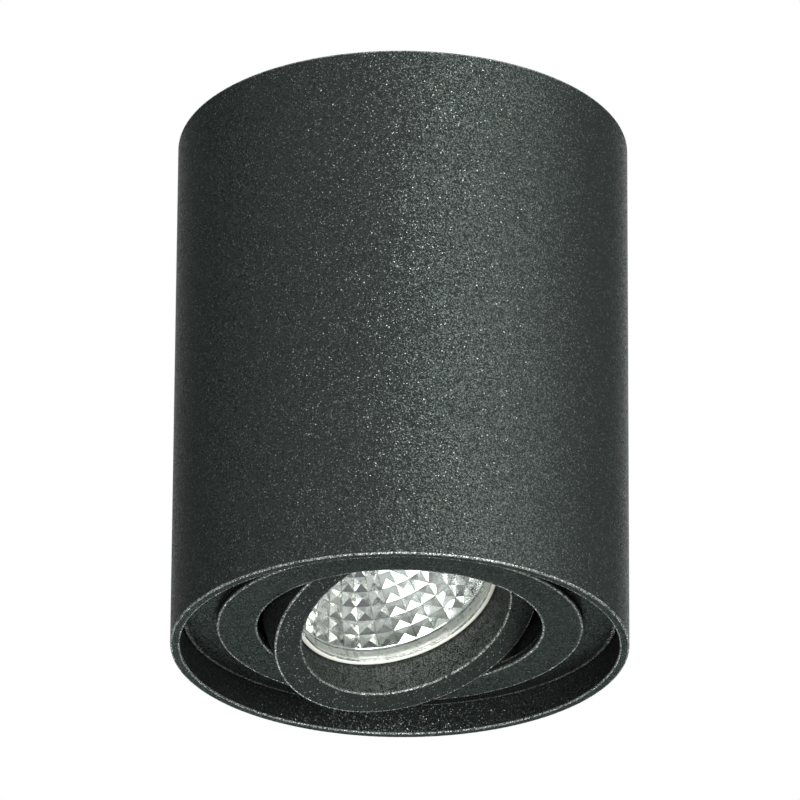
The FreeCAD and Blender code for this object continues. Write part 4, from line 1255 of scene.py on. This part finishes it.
@dataclass
class Studio:
    """Camera, light, floor and background. Sizes are in metres and angles in degrees.

    The shifts are shares of the subject's width. Fill is the strength of the white background in
    scattered light, and floor_white how white the floor is to the camera. Floor_half and floor_drop are
    in millimetres."""

    subject: float = 0.108
    lens: float = 451.96
    sensor: float = 36.0
    clip: float = 100.0
    distance: float = 2.38864
    elevation: float = 25.057
    roll: float = 0.354
    middle: float = -0.065
    shift_right: float = -0.0028
    shift_up: float = -0.0066
    fill: float = 0.35
    floor_white: float = 0.8
    floor_half: float = 9000.0
    floor_drop: float = 3000.0
    floor_light: Colour = (0.86, 0.86, 0.85)
    floor_dark: Colour = (0.82, 0.82, 0.81)
    floor_cloud: float = 0.4
    lights: tuple[Softbox, ...] = (
        Softbox("key", (1.75, -1.90, 0.30), (1.3, 2.6), 103.0, (1.0, 0.985, 0.955)),
        Softbox("low_key", (1.60, -2.05, -1.25), (0.8, 0.5), 24.0, (1.0, 0.99, 0.97)),
        Softbox("below", (0.15, -2.3, -0.95), (2.0, 0.9), 40.0, (1.0, 1.0, 0.98)),
        Softbox("warm", (-0.8, -2.0, -1.8), (1.1, 1.0), 20.0, (1.0, 0.94, 0.84)),
        Softbox("behind", (0.6, 2.6, 0.7), (0.9, 1.5), 3.0, (0.98, 1.0, 1.0)),
        Softbox("under", (-0.2, 2.6, -1.5), (1.2, 1.2), 40.0),
    )

    def camera(self) -> None:
        """The camera below the light, looking up at it as in the photograph."""
        rise = math.radians(self.elevation)
        right = Vector((1, 0, 0))
        forward = Vector((0, math.cos(rise), math.sin(rise)))
        up = right.cross(forward)
        shift = (right * self.shift_right + up * self.shift_up) * self.subject
        target = Vector((0, 0, self.middle)) + shift
        tilt = math.radians(self.roll)
        across = right * math.cos(tilt) + up * math.sin(tilt)
        upward = up * math.cos(tilt) - right * math.sin(tilt)
        data = bpy.data.cameras.new("camera")
        data.lens = self.lens
        data.sensor_width = self.sensor
        data.clip_end = self.clip
        made = bpy.data.objects.new("camera", data)
        turned = Matrix((across, upward, -forward)).transposed().to_4x4()
        made.matrix_world = Matrix.Translation(target - forward * self.distance) @ turned
        bpy.context.scene.collection.objects.link(made)
        bpy.context.scene.camera = made

    def light(self) -> None:
        """Soft studio light: a key at the right, three lamps from below in front and two behind."""
        for box in self.lights:
            box.build(Vector((0, 0, self.middle)))

    def shown(self, graph: Graph) -> Wire:
        """The rays that see the studio as white.

        Args:
            graph: the graph that the test is for.

        Returns:
            1 for rays from the camera, off a gloss or through glass, and 0 for scattered light.
        """
        path = graph.node("ShaderNodeLightPath")
        glossy = path.out("Is Glossy Ray").maths("MAXIMUM", path.out("Is Transmission Ray"))
        return path.out("Is Camera Ray").maths("MAXIMUM", glossy)

    def background(self) -> None:
        """A pale world that is white to the camera, in gloss and through glass."""
        world = bpy.data.worlds.new("studio")
        world.use_nodes = True
        graph = Graph.of(world.node_tree)
        values = {"Color": (1.0, 1.0, 1.0), "Strength": self.shown(graph).step(0.0, 1.0, self.fill, 1.0)}
        ground = graph.node("ShaderNodeBackground", {}, values).out("Background")
        graph.node("ShaderNodeOutputWorld", {}, {"Surface": ground})
        bpy.context.scene.world = world

    def floor(self) -> None:
        """A plain pale floor, three metres under the ceiling."""
        half = self.floor_half
        corners = ((-half, -half), (half, -half), (half, half), (-half, half))
        vertices = np.array([(x, y, -self.floor_drop) for x, y in corners])
        made = add_piece("floor", vertices, [[0, 1, 2, 3]])
        graph = Graph("pale_floor")
        pale = graph.blend(graph.noise(self.floor_cloud, CLOUDY), self.floor_light, self.floor_dark)
        lit = graph.node("ShaderNodeBsdfDiffuse", {}, {"Color": pale}).out("BSDF")
        glow = {"Color": (1.0, 1.0, 1.0), "Strength": 1.0}
        white = graph.node("ShaderNodeEmission", {}, glow).out("Emission")
        share = self.shown(graph) * self.floor_white
        both = graph.node("ShaderNodeMixShader", {}, {0: share, 1: lit, 2: white}).out("Shader")
        graph.node("ShaderNodeOutputMaterial", {}, {"Surface": both})
        made.data.materials.append(graph.material)

    def build(self) -> None:
        """Sets up the studio."""
        bpy.context.scene.view_settings.view_transform = "Standard"
        self.camera()
        self.light()
        self.background()
        self.floor()


def main() -> None:
    """Builds the light's pieces and dresses them."""
    logging.basicConfig(level=logging.INFO, format="%(name)s: %(message)s")
    finishes = Finishes()
    finishes.build()
    tube_low, tube_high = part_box("tube_housing")
    swivel_low, swivel_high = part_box("swivel_ring")
    joints = frame["record"]["behaviour"]["joints"]
    tilt = next(joint for joint in joints if joint["name"] == "lamp_tilt")
    azimuth = math.atan2(tilt["axis"][1], tilt["axis"][0])
    pivot = Vector(tilt["pos_m"])

    housing = Housing(radius=tube_high[0] / MM, height=-tube_low[2] / MM)
    swivel = Swivel(face=swivel_low[2] / MM, radius=swivel_high[0] / MM, tilt_axis=pivot.z / MM,
                    azimuth=azimuth)
    aim = Matrix.Rotation(math.pi - math.radians(REST_TILT), 4, "X")
    turned = Matrix.Rotation(azimuth, 4, "Z") @ aim
    unit = LampUnit(place=Matrix.Translation(pivot) @ turned)
    pieces = [
        (housing.tube, Body.HOUSING, COAT, "tube_housing"),
        (housing.frame_ring, Body.HOUSING, COAT, "frame_ring"),
        (swivel.ring, Body.SWIVEL, COAT, "swivel_ring"),
        (unit.ring, Body.LAMP, COAT, "lamp_ring"),
        (unit.reflector, Body.LAMP, BOWL, "lamp_reflector"),
        (unit.cover, Body.LAMP, "cover_glass", "lamp_glass"),
        (unit.capsule, Body.LAMP, "quartz", "lamp_capsule"),
    ]
    for build, body, slot, node in pieces:
        show(build(), body, finishes.made[slot], [node])
    replaced = {node for *_, node in pieces}
    finishes.dress(frame["nodes"], frame["record"]["subparts"], replaced)
    Studio().build()


if __name__ == "__main__":
    main()
